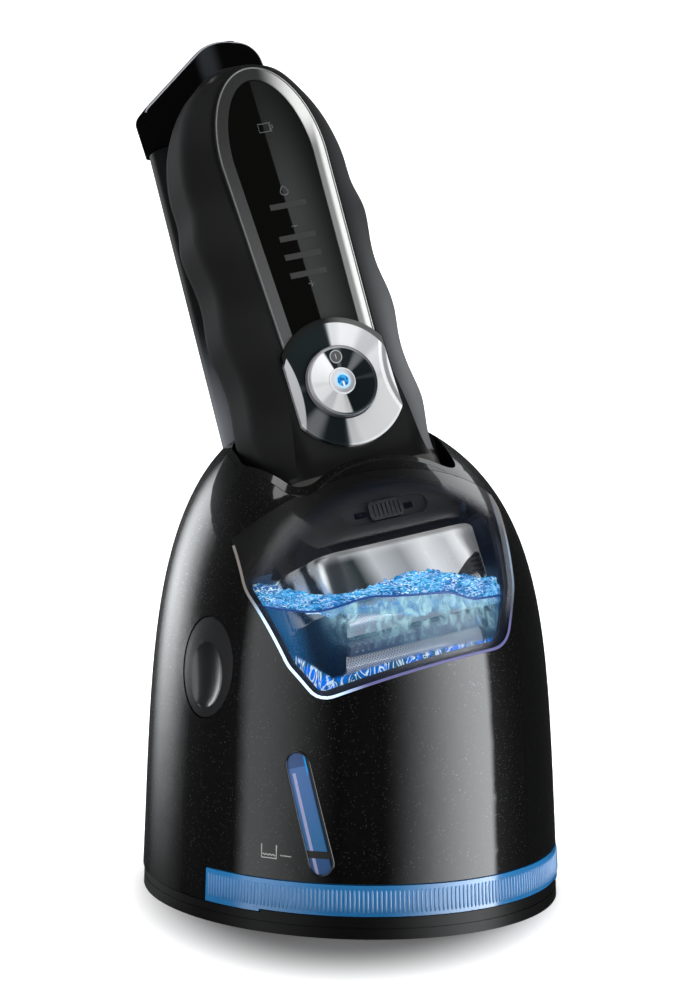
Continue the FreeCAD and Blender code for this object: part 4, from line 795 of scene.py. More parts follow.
@dataclass(frozen=True)
class LevelTube:
    """Blue level tube with a painted highlight streak, painted shade, a painted glint, a float
    bar and darker ends.
    """

    name: str
    half: float = 17.2
    bar_low: float = -12.0
    bar_high: float = -10.0
    soft: float = 0.1

    def build(self) -> bpy.types.Material:
        """Zones along and across the slanted slot."""
        g = Graph(self.name)
        right, up = LEVEL_FRAME.axes()
        t, s = g.along(right, LEVEL_FRAME.centre()), g.along(up, LEVEL_FRAME.centre())
        z = g.along(Vector((0, 0, 1)), LEVEL_FRAME.centre())
        body = g.mix(s.ramp(-14.0, 14.0), (0.026, 0.130, 0.30), (0.060, 0.135, 0.33))
        ends = (s.ramp(self.half - 4.3, self.half - 4.1)
                + z.fall(self.bar_low, self.bar_low + self.soft) * 0.8)
        body = g.mix(ends, body, (0.032, 0.072, 0.19))
        # Painted highlight streak down the tube's left side.
        streak = t.band(-2.35, -2.15, -1.45, -1.25) * (s < 11.6)
        body = g.mix(streak * (g.noise(0.5) * 0.3 + 0.5), body, (0.44, 0.42, 0.62))
        # Painted shade along the right side, and a painted glint near its top.
        shade = t.ramp(2.2, 2.6) * 0.9
        body = g.mix(shade, body, (0.001, 0.010, 0.018))
        glint = t.band(1.7, 2.2, 2.2, 2.5) * s.ramp(9.5, 12.0)
        body = g.mix(glint, body, (0.0, 0.33, 0.85))
        bar = (z > self.bar_low) * (z < self.bar_high)
        colour = g.mix(bar, body, (0.022, 0.022, 0.022))
        # Faint painted glow.
        return g.glowing(colour, 0.12, roughness=g.noise(4.0) * 0.05 + 0.14,
                         specular_ior_level=0.3)


@dataclass(frozen=True)
class BrightEdgeFrame:
    """Satin frame with a painted reflection, dark on one limb and bright on the other."""

    name: str
    waist_x: float = 14.2
    waist_u: float = 32.5
    flare: float = 0.038

    def build(self) -> bpy.types.Material:
        """Painted reflection grey by place, a faint painted glow, and fine brushing along the
        limbs.
        """
        g = Graph(self.name)
        x, u = g.dock()
        brush = g.noise(0.5, 3.0, (1, 1, 0.2))
        # Painted reflection: darker towards the top and greyer towards the right.
        dull = g.mix(u.ramp(40.0, 108.0), (0.068, 0.068, 0.069), (0.015, 0.015, 0.015))
        limb = x - (u - self.waist_u) * self.flare - self.waist_x
        low = u.fall(88.0, 100.0)
        # Painted highlight on the outer band of the right limb and over the right of the top.
        outer = limb.ramp(-2.7, -1.5) * low + (1 - low) * x.ramp(2.0, 13.0)
        shade = g.mix(x.ramp(2.0, 12.0) * (1 - u.ramp(104.0, 114.0) * 0.7), dull,
                      (0.22, 0.22, 0.22))
        colour = g.mix(outer, shade, (0.90, 0.90, 0.88))
        return g.surface(base_color=g.mix(brush * 0.15, colour, (0.1, 0.1, 0.1)), metallic=0.5,
                         emission_color=colour, emission_strength=0.12,
                         roughness=brush * 0.1 + 0.33, normal=g.bump(brush, 0.003))


@dataclass(frozen=True)
class LitLens:
    """Clear lens with the lit blue core that shows through it."""

    name: str
    centre_u: float = 20.2

    def build(self) -> bpy.types.Material:
        """Rings from the lit blue middle to the clear rim, with painted light on the glass."""
        g = Graph(self.name)
        x, u = g.dock(u=self.centre_u)
        radius = (x * x + u * u) ** 0.5
        # Painted light: the glass ring lighter towards the upper left.
        glass = g.mix((u - x).ramp(-3.5, 3.5), (0.30, 0.31, 0.33), (0.62, 0.63, 0.66))
        core = g.mix(g.noise(1.1, 2.0).ramp(0.42, 0.62), (0.0, 0.075, 0.30), (0.02, 0.30, 0.62))
        # Painted highlight streak below the middle of the lit core.
        wedge = (x * 2.6).wave("ABSOLUTE").fall(0.3, 1.2) * u.fall(-0.5, 0.1)
        core = g.mix(wedge * 0.8, core, (0.8, 0.9, 0.95))
        ring = g.mix(radius.ramp(1.55, 1.8), core, (0.36, 0.58, 0.74))
        colour = g.mix(radius.ramp(2.0, 2.7), ring, glass)
        # Painted highlight round the lens's rim.
        colour = g.mix(radius.ramp(3.45, 3.6), colour, (0.8, 0.81, 0.83))
        glow = g.mix(radius.ramp(2.0, 3.0), colour, (0.0, 0.0, 0.0))
        return g.surface(base_color=colour, emission_color=glow, emission_strength=0.28,
                         roughness=g.noise(3.0) * 0.05 + 0.12, specular_ior_level=0.2)


@dataclass(frozen=True)
class EdgeGlow:
    """Painted highlight line round the window, glowing strongest low on the left."""

    name: str
    strength: float = 0.95

    def build(self) -> bpy.types.Material:
        """Painted highlight glow by place along the outline."""
        g = Graph(self.name)
        x, u = g.dock()
        left = x.fall(-37.0, -24.0) * (1 - u.ramp(-44.0, -34.0) * 0.78)
        right = x.ramp(20.0, 27.0) * u.ramp(-62.0, -40.0) * 0.22
        warm = g.mix(u.ramp(-40.0, -30.0), (0.55, 0.76, 1.0), (0.42, 0.37, 0.33))
        faint = g.mix(u.ramp(-60.0, -52.0), (0.08, 0.08, 0.19), (0.030, 0.029, 0.030))
        colour = g.mix(left + right, faint, warm)
        return g.glowing(colour, self.strength, roughness=g.noise(2.0) * 0.1 + 0.3,
                         specular_ior_level=0.2)


@dataclass(frozen=True)
class HeadChrome:
    """Polished head frame with painted reflections: smooth tones across its face and bands round
    its ends.
    """

    name: str
    stops: tuple[tuple[float, Colour], ...] = (
        (0.0, (0.10, 0.11, 0.12)), (0.10, (0.02, 0.03, 0.03)), (0.24, (0.60, 0.62, 0.63)),
        (0.5, (0.34, 0.35, 0.36)), (0.72, (0.86, 0.87, 0.88)), (0.9, (0.60, 0.61, 0.62)),
        (0.97, (0.95, 0.95, 0.96)), (1.0, (0.35, 0.36, 0.37)))

    def build(self) -> bpy.types.Material:
        """Painted reflection tone by place along the head, with dark and bright painted
        reflection bands on its left end.
        """
        g = Graph(self.name)
        x, u, n = g.dock("xun")
        share = (x + (u + 35.0) * 0.25).ramp(-23.0, 24.0) + g.noise(9.0) * 0.03
        face = g.node("ValToRGB", {"stops": self.stops}, {0: share})
        # Painted highlight along the head's top.
        face = g.mix(u.ramp(-31.5, -28.0) * 0.55, face, (0.85, 0.86, 0.87))
        painted_reflection_bands = ((n + u * 0.45 + g.noise(9.0, 3.0) * 9.0) * 0.62).wave("SINE").ramp(-0.75, 0.85)
        side = g.mix(painted_reflection_bands, (0.03, 0.04, 0.043), (0.78, 0.80, 0.80))
        colour = g.mix(x.fall(-23.6, -22.4), face, side)
        # Faint painted glow.
        return g.glowing(colour, 0.30, metallic=0.7, roughness=g.noise(5.0) * 0.08 + 0.22)


@dataclass(frozen=True)
class FoilMesh:
    """Thin steel foil with rows of fine holes and a painted glow."""

    name: str
    pitch: float = 0.85

    def build(self) -> bpy.types.Material:
        """Dark holes between bright bridges."""
        g = Graph(self.name)
        across = g.along(DOCK.axis(1, 0, 0))
        down = g.along(DOCK.axis(0, 0.69, 0.72))
        turn = math.pi * 2 / self.pitch
        web = (across * turn).wave("SINE") * (down * turn).wave("SINE")
        hole = web.ramp(0.18, 0.42)
        colour = g.mix(hole, (0.80, 0.82, 0.84), (0.20, 0.22, 0.24))
        return g.glowing(colour, 0.3, metallic=0.4, roughness=hole * 0.3 + 0.2,
                         normal=g.bump(1 - hole, 0.03))


@dataclass(frozen=True)
class Lit:
    """A lit or printed mark; its glow, on anything but the lamp, is painted light."""

    name: str
    colour: Colour
    glow: float = 0.0

    def build(self) -> bpy.types.Material:
        """Even colour with slight print unevenness."""
        g = Graph(self.name)
        tone = g.mix(g.noise(1.5), tuple(c * 0.8 for c in self.colour), self.colour)
        return g.glowing(tone, self.glow, roughness=g.noise(3.0) * 0.1 + 0.35)


class Finish(Enum):
    """Every finish on the station, each built once."""

    DOME = Sparkle("dome_lacquer")
    BASE = Moulded("base_grain", (0.0038, 0.0036, 0.0034), 0.38, shine=0.15)
    FOOT = Moulded("foot_rubber", (0.03, 0.03, 0.03), 0.8, 0.8, 0.04)
    STEEL = Metal("turned_steel", (0.55, 0.56, 0.58), 0.28, (1, 1, 12))
    BAND = TintedBand("cartridge_blue", ((0.0, (0.015, 0.20, 0.50)), (0.16, (0.05, 0.20, 0.44)),
                                         (0.24, (0.028, 0.115, 0.27)), (0.8, (0.025, 0.12, 0.30)),
                                         (0.88, (0.05, 0.16, 0.38)), (0.94, (0.006, 0.03, 0.10))))
    CARTRIDGE = Moulded("cartridge_grey", (0.22, 0.24, 0.27), 0.55)
    TANK_FLUID = Water("tank_fluid", 0.7, glow=0.1)
    PANE = Pane("chamber_pane")
    LEVEL = LevelTube("level_tube")
    SLOT_RIM = Moulded("slot_rim_black", (0.003, 0.003, 0.003), 0.2, 0.5, 0.002, 0.3)
    LIFT = Moulded("lift_button_gloss", (0.008, 0.008, 0.009), 0.3, 0.5, 0.006, 0.4)
    INNER = Moulded("inner_grey", (0.10, 0.105, 0.115), 0.55, 0.5, 0.02)
    BASIN = Moulded("basin_slate", (0.022, 0.030, 0.055), 0.4, 0.6, 0.01, 0.0, 0.3)
    BOARD = Moulded("board_green", (0.02, 0.12, 0.05), 0.4, 0.4, 0.01)
    PIN = Metal("gold_pin", (0.85, 0.62, 0.28), 0.22)
    FLUID = Bath("basin_fluid")
    WATER_LINE = Lit("water_line", (0.004, 0.060, 0.30), 0.4)
    FOAM = Foam("foam_band")
    NECK = Moulded("neck_grey", (0.052, 0.050, 0.048), 0.42, 0.3, 0.006, shine=0.2)
    ON_MARK = Lit("on_mark", (0.42, 0.43, 0.44), 0.1)
    ON_FIELD = Lit("on_field", (0.045, 0.047, 0.05))
    RIM_SILVER = Lit("cap_rim_silver", (0.30, 0.31, 0.34), 0.05)
    ARM = ArmGloss("arm_grey_gloss")
    CAP = CapGloss("cap_black_gloss")
    GRIP = SoftGrip("grip_rubber")
    HANDLE = Moulded("handle_satin", (0.0042, 0.0042, 0.0044), 0.3, 0.4, 0.003, 0.0, shine=0.15)
    PANEL = DisplayGlass("display_glass")
    FRAME = BrightEdgeFrame("frame_satin")
    SPUN = SpunSurround("surround_spun", Side.RIGHT, 0.02, -0.16)
    BUTTON = SpunDish("button_spun", Side.LEFT, -0.36, 0.0)
    LENS = LitLens("lens_clear")
    LED = Lit("led_blue", (0.10, 0.45, 1.0), 2.2)
    BATTERY = Moulded("battery_sleeve", (0.05, 0.12, 0.3), 0.4)
    HEAD = HeadChrome("head_satin_chrome")
    EDGE_GREY = Lit("frame_edge_grey", (0.16, 0.16, 0.16), 0.02)
    HEAD_GREY = Moulded("head_dark_grey", (0.030, 0.031, 0.035), 0.42, 0.3, 0.008, 0.2)
    FOIL = FoilMesh("foil_perforated")
    TRIMMER = Metal("trimmer_steel", (0.86, 0.87, 0.88), 0.25, (6, 1, 1), metallic=0.45)
    RIBBED = Moulded("release_black", (0.02, 0.021, 0.023), 0.4, 0.3, 0.008)
    WAVES = Water("wave_crest", 0.62, (0.01, 0.12, 0.42), (0.06, 0.48, 0.98), size=5.0,
                  glow=0.5, foam_from=0.58)
    EDGE_GLOW = EdgeGlow("window_edge_glow")
    MARK = Lit("printed_mark", (0.50, 0.50, 0.49), 0.05)
    PANEL_MARK = Lit("panel_mark", (0.075, 0.076, 0.075), 0.02)
    BAR = Lit("level_bar_dim", (0.018, 0.018, 0.0175), 0.02)
    # The ribs' paler blue is partly their own colour and partly painted highlight.
    RIB = TintedBand("rib_pale", ((0.2, (0.10, 0.27, 0.54)), (0.5, (0.20, 0.36, 0.62)),
                                  (0.9, (0.09, 0.24, 0.50))))

    @functools.cache
    def material(self) -> bpy.types.Material:
        """The finish's material, made on first use."""
        return self.value.build()


# ------------------------------------------------------------------ mesh tools
def add_piece(name: str, fill: Callable[[bmesh.types.BMesh], None], body: str,
              finish: Finish, smooth: bool = True) -> bpy.types.Object:
    """Put a mesh in the scene as a piece of the station.

    Args:
        name: piece name.
        fill: function that adds the faces, in row frame metres.
        body: CAD body it moves with.
        finish: its finish.
        smooth: whether its faces are shaded smooth.

    Returns:
        The new object.
    """
    mesh = mesh_from(fill)
    mesh.name = name
    mesh.materials.append(finish.material())
    for polygon in mesh.polygons:
        polygon.use_smooth = smooth
    made = linked(name, mesh)
    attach(made, body)
    LOG.info("piece %s: %d faces on %s", name, len(mesh.polygons), body)
    return made


def linked(name: str, data: bpy.types.ID) -> bpy.types.Object:
    """New object in the scene."""
    made = bpy.data.objects.new(name, data)
    bpy.context.scene.collection.objects.link(made)
    return made


def mesh_from(fill: Callable[[bmesh.types.BMesh], None]) -> bpy.types.Mesh:
    """Mesh that a function fills in, with its normals made consistent."""
    bm = bmesh.new()
    fill(bm)
    bmesh.ops.recalc_face_normals(bm, faces=bm.faces)
    mesh = bpy.data.meshes.new("piece")
    bm.to_mesh(mesh)
    bm.free()
    return mesh


def sweep(bm: bmesh.types.BMesh, path: Sequence[Vector], across: Sequence[Vector],
          out: Sequence[Vector], section: Sequence[Point2], closed: bool) -> None:
    """Sweep a closed section along a path.

    Args:
        bm: mesh to add to.
        path: points of the path in metres.
        across: the section's first axis at each point.
        out: the section's second axis at each point.
        section: (across, out) positions in millimetres.
        closed: whether the path is a loop.
    """
    rings = [[bm.verts.new(p + (a * s + o * t) * MM) for s, t in section]
             for p, a, o in zip(path, across, out)]
    count = len(section)
    for i in range(len(rings) if closed else len(rings) - 1):
        first, second = rings[i], rings[(i + 1) % len(rings)]
        for j in range(count):
            k = (j + 1) % count
            bm.faces.new((first[j], first[k], second[k], second[j]))
    if not closed:
        bm.faces.new(rings[0])
        bm.faces.new(rings[-1])


def prism(bm: bmesh.types.BMesh, low: Iterable[Vector], high: Iterable[Vector]) -> None:
    """Closed prism between two rings of as many points."""
    low, high = [bm.verts.new(p) for p in low], [bm.verts.new(p) for p in high]
    bm.faces.new(low)
    bm.faces.new(high)
    for i in range(len(low)):
        j = (i + 1) % len(low)
        bm.faces.new((low[i], low[j], high[j], high[i]))


def strip(bm: bmesh.types.BMesh, rows: Iterable[Iterable[Point3]]) -> None:
    """Faces between neighbouring rows of two points."""
    made = [[bm.verts.new(p) for p in row] for row in rows]
    for (a, b), (c, d) in zip(made, made[1:]):
        bm.faces.new((a, b, d, c))


def turns(count: int) -> list[float]:
    """Angles of one full turn in equal steps."""
    return [2 * math.pi * k / count for k in range(count)]


def round_section(half: float, sides: int = 8, flat: float = 1.0) -> list[Point2]:
    """Round or flattened section."""
    return [(half * math.cos(a), half * flat * math.sin(a)) for a in turns(sides)]


def line_piece(bm: bmesh.types.BMesh, path: Sequence[Vector],
               normal: Vector | Callable[[int], Vector], half: float,
               closed: bool = False, flat: float = 1.0, sides: int = 8) -> None:
    """Sweep a round line along a path that lies on a surface.

    Args:
        bm: mesh to add to.
        path: points in metres.
        normal: surface normal, or a function that gives it by a point's number.
        half: half the line's width.
        closed: whether it is a loop.
        flat: height of the section as a share of its width.
        sides: sides of the section.
    """
    count = len(path)
    across, out = [], []
    for i in range(count):
        back = path[i - 1] if closed or i else path[i]
        ahead = path[(i + 1) % count] if closed or i < count - 1 else path[i]
        run = (ahead - back).normalized()
        up = normal(i) if callable(normal) else normal
        side = run.cross(up).normalized()
        across.append(side)
        out.append(side.cross(run).normalized())
    sweep(bm, path, across, out, round_section(half, sides, flat), closed)


def rounded_path(corners: Sequence[Corner], step: float) -> list[Point2]:
    """Closed outline through (a, b, radius) corners, sampled about every step.

    Args:
        corners: the outline's corners with their radii.
        step: distance between samples.

    Returns:
        Points of the outline in order.
    """
    found: list[Point2] = []
    count = len(corners)
    for i in range(count):
        here = Vector(corners[i][:2])
        back = (Vector(corners[i - 1][:2]) - here).normalized()
        ahead = (Vector(corners[(i + 1) % count][:2]) - here).normalized()
        half, radius = back.angle(ahead) / 2, max(corners[i][2], 1e-3)
        reach = radius / math.tan(half)
        centre = here + (back + ahead).normalized() * (radius / math.sin(half))
        first, last = here + back * reach - centre, here + ahead * reach - centre
        swing = first.angle_signed(last)
        pieces = max(2, int(abs(swing) * radius / step) + 1)
        for k in range(pieces + 1):
            turned = Matrix.Rotation(-swing * k / pieces, 2) @ first
            found.append(tuple(centre + turned))
    return resampled(found, step)


def resampled(points: Sequence[Point2], step: float) -> list[Point2]:
    """Closed outline with its points evenly spaced."""
    loop = [Vector(p) for p in points]
    loop.append(loop[0])
    runs = [(b - a).length for a, b in zip(loop, loop[1:])]
    total = sum(runs)
    count = max(8, round(total / step))
    result, at, i = [], 0.0, 0
    for k in range(count):
        want = total * k / count
        while i < len(runs) - 1 and at + runs[i] < want:
            at += runs[i]
            i += 1
        share = (want - at) / runs[i] if runs[i] else 0.0
        result.append(tuple(loop[i].lerp(loop[i + 1], share)))
    return result


# ------------------------------------------------------------------ sub-assemblies
@dataclass
class CarriedNodes:
    """The CAD nodes and the finish that each one gets."""

    finishes: dict[Finish, str] = field(default_factory=lambda: {
        Finish.DOME: "dome_shell opening_rim",
        Finish.BASE: "base_plate power_socket contact_block level_bar",
        Finish.FOOT: "rubber_feet",
        Finish.STEEL: "base_screws guide_posts lift_springs pump_motor drive_pin "
                      "cutter_front cutter_rear",
        Finish.BAND: "cartridge_tank",
        Finish.CARTRIDGE: "cartridge_lid cartridge_filter intake_tube outlet_tube drain_tube",
        Finish.TANK_FLUID: "cartridge_fluid",
        Finish.PANE: "chamber_window",
        Finish.LEVEL: "level_window",
        Finish.LIFT: "lift_button start_button",
        Finish.INNER: "latch_slide chassis pump_housing pump_impeller shaver_drive",
        Finish.BASIN: "wash_basin",
        Finish.BOARD: "circuit_board shaver_board",
        Finish.PIN: "socket_pins contact_pins",
        Finish.FLUID: "cleaning_fluid",
        Finish.ARM: "arm_front_cover arm_back_cover",
        Finish.CAP: "arm_cap",
        Finish.GRIP: "grip_left grip_right",
        Finish.HANDLE: "handle_front handle_back",
        Finish.PANEL: "display_panel",
        Finish.FRAME: "display_frame",
        Finish.SPUN: "button_surround",
        Finish.BUTTON: "power_button",
        Finish.LENS: "button_lens",
        Finish.LED: "button_led",
        Finish.BATTERY: "shaver_battery",
        Finish.HEAD: "head_frame",
        Finish.NECK: "neck",
        Finish.HEAD_GREY: "head_core cassette_frame",
        Finish.FOIL: "foil_front foil_rear",
        Finish.TRIMMER: "middle_trimmer",
        Finish.RIBBED: "head_lock_slider release_button",
    })

    def dress(self) -> None:
        """Give each node's object its finish."""
        dressed = 0
        for finish, names in self.finishes.items():
            for name in names.split():
                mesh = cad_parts[name].data
                mesh.materials.clear()
                mesh.materials.append(finish.material())
                dressed += 1
        LOG.info("dressed %d of %d nodes", dressed, len(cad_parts))


@dataclass
class CartridgeBand:
    """Ribs on the cartridge's visible band, short of its smooth lips."""

    angle: float = 65.2
    ribs: int = 124
    z_low: float = 7.3
    z_high: float = 13.6
    rib_half: float = 0.36
    proud: float = 0.28

    def build(self) -> None:
        """Upright ribs, each following the band's curve."""
        def fill(bm: bmesh.types.BMesh) -> None:
            for k in range(self.ribs):
                angle = -self.angle + 2 * self.angle * (k + 0.5) / self.ribs
                self.rib(bm, angle)
        add_piece("band_ribs", fill, "base", Finish.RIB)

    def rib(self, bm: bmesh.types.BMesh, angle: float) -> None:
        """One half-round rib with tapered ends."""
        levels = (0.0, 0.08, 0.5, 0.92, 1.0)
        widths = (0.35, 1.0, 1.0, 1.0, 0.35)
        section = ((-1, -0.3), (-0.6, 0.8), (0, 1.0), (0.6, 0.8), (1, -0.3))
        path, across, out = [], [], []
        for share, width in zip(levels, widths):
            z = self.z_low + (self.z_high - self.z_low) * share
            side = (DOME.around(angle + 0.5, z) - DOME.around(angle - 0.5, z)).normalized()
            path.append(DOME.around(angle, z))
            across.append(side * self.rib_half * width)
            out.append(Vector((-side.y, side.x, 0)) * self.proud * width)
        sweep(bm, path, across, out, section, False)


@dataclass
class HousingMarks:
    """The level slot's rim and the printed tank mark beside it."""

    slot_half_w: float = 3.5
    slot_half_l: float = 17.25
    rim_half: float = 0.34
    mark: WallFrame = WallFrame(44.6, 22.6)
    width: float = 4.7
    height: float = 3.7
    line_half: float = 0.2

    def build_rim(self) -> None:
        """Dark raised rim round the level slot."""
        r, straight = self.slot_half_w, self.slot_half_l - self.slot_half_w
        ring = [(r * math.cos(a), straight + r * math.sin(a))
                for a in turns(24)[:13]]
        ring += [(-x, -y) for x, y in ring]
        path = [LEVEL_FRAME.on_dome(x, y) for x, y in resampled(ring, 0.9)]

        def fill(bm: bmesh.types.BMesh) -> None:
            line_piece(bm, path, LEVEL_FRAME.outward(), self.rim_half, True, 0.8)
        add_piece("level_slot_rim", fill, "housing", Finish.SLOT_RIM)

    def build_mark(self) -> None:
        """Open tank outline, its wavy fluid line and a dash to the window."""
        w, h = self.width / 2, self.height / 2
        tank = [(-w, h), (-w, -h), (w, -h), (w, h)]
        wave = [(-w + 0.3 + (2 * w - 0.6) * k / 16, 0.9 - h + 0.22 * math.sin(k * 1.57))
                for k in range(17)]
        dash = [(w + 1.2, -h + 1.0), (w + 4.6, -h + 0.9)]

        def fill(bm: bmesh.types.BMesh) -> None:
            out = self.mark.outward()
            for stroke, half in ((tank, 1.0), (wave, 0.8), (dash, 0.8)):
                path = [self.mark.on_dome(a, b, 0.02) for a, b in stroke]
                line_piece(bm, path, out, self.line_half * half, flat=0.35)
        add_piece("tank_mark", fill, "housing", Finish.MARK)

    def build(self) -> None:
        """Rim and mark."""
        self.build_rim()
        self.build_mark()


@dataclass
class WindowEdge:
    """Painted highlight line round the sides and bottom of the chamber window."""

    top: tuple[Point2, Point2, Point2] = ((-41.8, -15.0), (-7.0, -8.5), (32.3, -20.0))
    right: tuple[Corner, ...] = ((33.0, -25.5, 6.0), (27.0, -49.0, 16.0), (18.5, -65.3, 9.0))
    left: tuple[Corner, ...] = ((-37.0, -67.0, 5.0), (-41.4, -55.0, 12.0), (-44.3, -31.0, 20.0))
    edge_half: float = 0.42
    step: float = 1.4
    middle: Point2 = (-5.0, -35.0)

    def outline(self) -> list[Point2]:
        """Window outline in dock (x, u)."""
        (x0, u0), (xm, um), (x1, u1) = self.top
        arch = []
        for k in range(1, 12):
            t = k / 12
            x = x0 + (x1 - x0) * t
            base = u0 + (u1 - u0) * t
            middle = um - (u0 + (u1 - u0) * (xm - x0) / (x1 - x0))
            arch.append((x, base + middle * 4 * t * (1 - t), 4.0))
        return rounded_path([(x0, u0, 1.5), *arch, (x1, u1, 1.5), *self.right, *self.left],
                            self.step)

    def build(self) -> None:
        """Painted highlight line where the pane's sides and bottom meet the housing."""
        points = self.outline()
        low = [p[1] < self.edge_top(p[0]) for p in points]
        start = next(k for k in range(len(points)) if low[k] and not low[k - 1])
        points, low = points[start:] + points[:start], low[start:] + low[:start]
        sides = points[:low.index(False)]
        path = [DOME.below_dock(x, u) for x, u in sides]
        middle = DOCK.point(self.middle[0], 0, self.middle[1])

        def normal(i: int) -> Vector:
            """Outward direction, near enough for a narrow line."""
            away = path[i] - middle
            return (away.normalized() + DOCK.axis(0, 1, 0)).normalized()

        def fill(bm: bmesh.types.BMesh) -> None:
            line_piece(bm, path, normal, self.edge_half, False, 0.45)
        add_piece("window_edge", fill, "housing", Finish.EDGE_GLOW)

    def edge_top(self, x: float) -> float:
        """Height in the dock frame above which the line isn't drawn."""
        (x0, u0), _, (x1, u1) = self.top
        return u0 + (u1 - u0) * (x - x0) / (x1 - x0) - 1.0


@dataclass
class Waves:
    """Choppy surface of the fluid, with foam beads near the window."""

    wave_height: float = 3.4
    wave_kinds: tuple[tuple[float, Point3, float], ...] = (
        (11.0, (0, 0, 0), 1.0), (3.4, (7, 3, 1), 0.55), (1.3, (2, 9, 4), 0.22))
    drops: int = 70
    drop_sizes: Point2 = (0.25, 0.8)
    drop_shares: Point2 = (0.72, 0.95)
    sectors: int = 220
    rings: int = 46
    ring_power: float = 0.8
    edge_share: float = 0.985
    thickness: float = 0.5

    def pool(self, count: int) -> list[Point2]:
        """Outline of the fluid's top face in metres, and its middle as the last point."""
        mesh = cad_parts["cleaning_fluid"].data
        high = [v.co for v in mesh.vertices if v.co.z > (FLUID_TOP - 0.4) * MM]
        xs, ys = [c.x for c in high], [c.y for c in high]
        centre = Vector(((min(xs) + max(xs)) / 2, (min(ys) + max(ys)) / 2))
        rim = []
        near = [Vector((c.x, c.y)) - centre for c in high]
        for a in turns(count):
            way = Vector((math.cos(a), math.sin(a)))
            ahead = [d.dot(way) for d in near
                     if d.length > 1e-6 and d.angle(way) < math.radians(14)]
            rim.append(max(ahead) if ahead else 0.0)
        smooth = [sorted(rim[(k + j) % count] for j in (-2, -1, 0, 1, 2))[2]
                  for k in range(count)]
        return [(centre.x + math.cos(a) * r, centre.y + math.sin(a) * r)
                for a, r in zip(turns(count), smooth)] + [tuple(centre)]

    def swell(self, x: float, y: float) -> float:
        """Height of the waves in metres at a place."""
        p = Vector((x, y, 0)) / MM
        rise = sum(noise.noise(p / size + Vector(shift)) * share
                   for size, shift, share in self.wave_kinds)
        return rise * self.wave_height * MM

    def build_waves(self) -> None:
        """Choppy surface sheet over the fluid."""
        sectors, rings = self.sectors, self.rings
        *rim, centre = self.pool(sectors)
        base = FLUID_TOP * MM

        def fill(bm: bmesh.types.BMesh) -> None:
            grid = []
            for r in range(1, rings + 1):
                share = (r / rings) ** self.ring_power * self.edge_share
                row = []
                for x, y in rim:
                    px = centre[0] + (x - centre[0]) * share
                    py = centre[1] + (y - centre[1]) * share
                    row.append(bm.verts.new((px, py, base + self.swell(px, py))))
                grid.append(row)
            hub = bm.verts.new((*centre, base + self.swell(*centre)))
            for k in range(sectors):
                j = (k + 1) % sectors
                bm.faces.new((hub, grid[0][k], grid[0][j]))
                for inner, outer in zip(grid, grid[1:]):
                    bm.faces.new((inner[k], outer[k], outer[j], inner[j]))
        made = add_piece("wave_sheet", fill, "housing", Finish.WAVES)
        thick = made.modifiers.new("thickness", "SOLIDIFY")
        thick.thickness, thick.offset = self.thickness * MM, -1.0

    def build_drops(self) -> None:
        """Foam beads along the surface near the window."""
        draw = random.Random(11)
        *rim, centre = self.pool(120)
        front = [p for p in rim if p[1] < centre[1]]

        def fill(bm: bmesh.types.BMesh) -> None:
            for _ in range(self.drops):
                x, y = draw.choice(front)
                share = draw.uniform(*self.drop_shares)
                px, py = centre[0] + (x - centre[0]) * share, centre[1] + (y - centre[1]) * share
                size = draw.uniform(*self.drop_sizes) * MM
                z = FLUID_TOP * MM + self.swell(px, py) + draw.uniform(-0.2, 1.4) * size
                place = Matrix.Translation((px, py, z)) @ Matrix.Diagonal(
                    (1.0, 1.0, draw.uniform(0.6, 1.0), 1.0))
                bmesh.ops.create_icosphere(bm, subdivisions=2, radius=size, matrix=place)
        add_piece("foam_beads", fill, "housing", Finish.WAVES)

    def build(self) -> None:
        """Surface, then beads."""
        self.build_waves()
        self.build_drops()


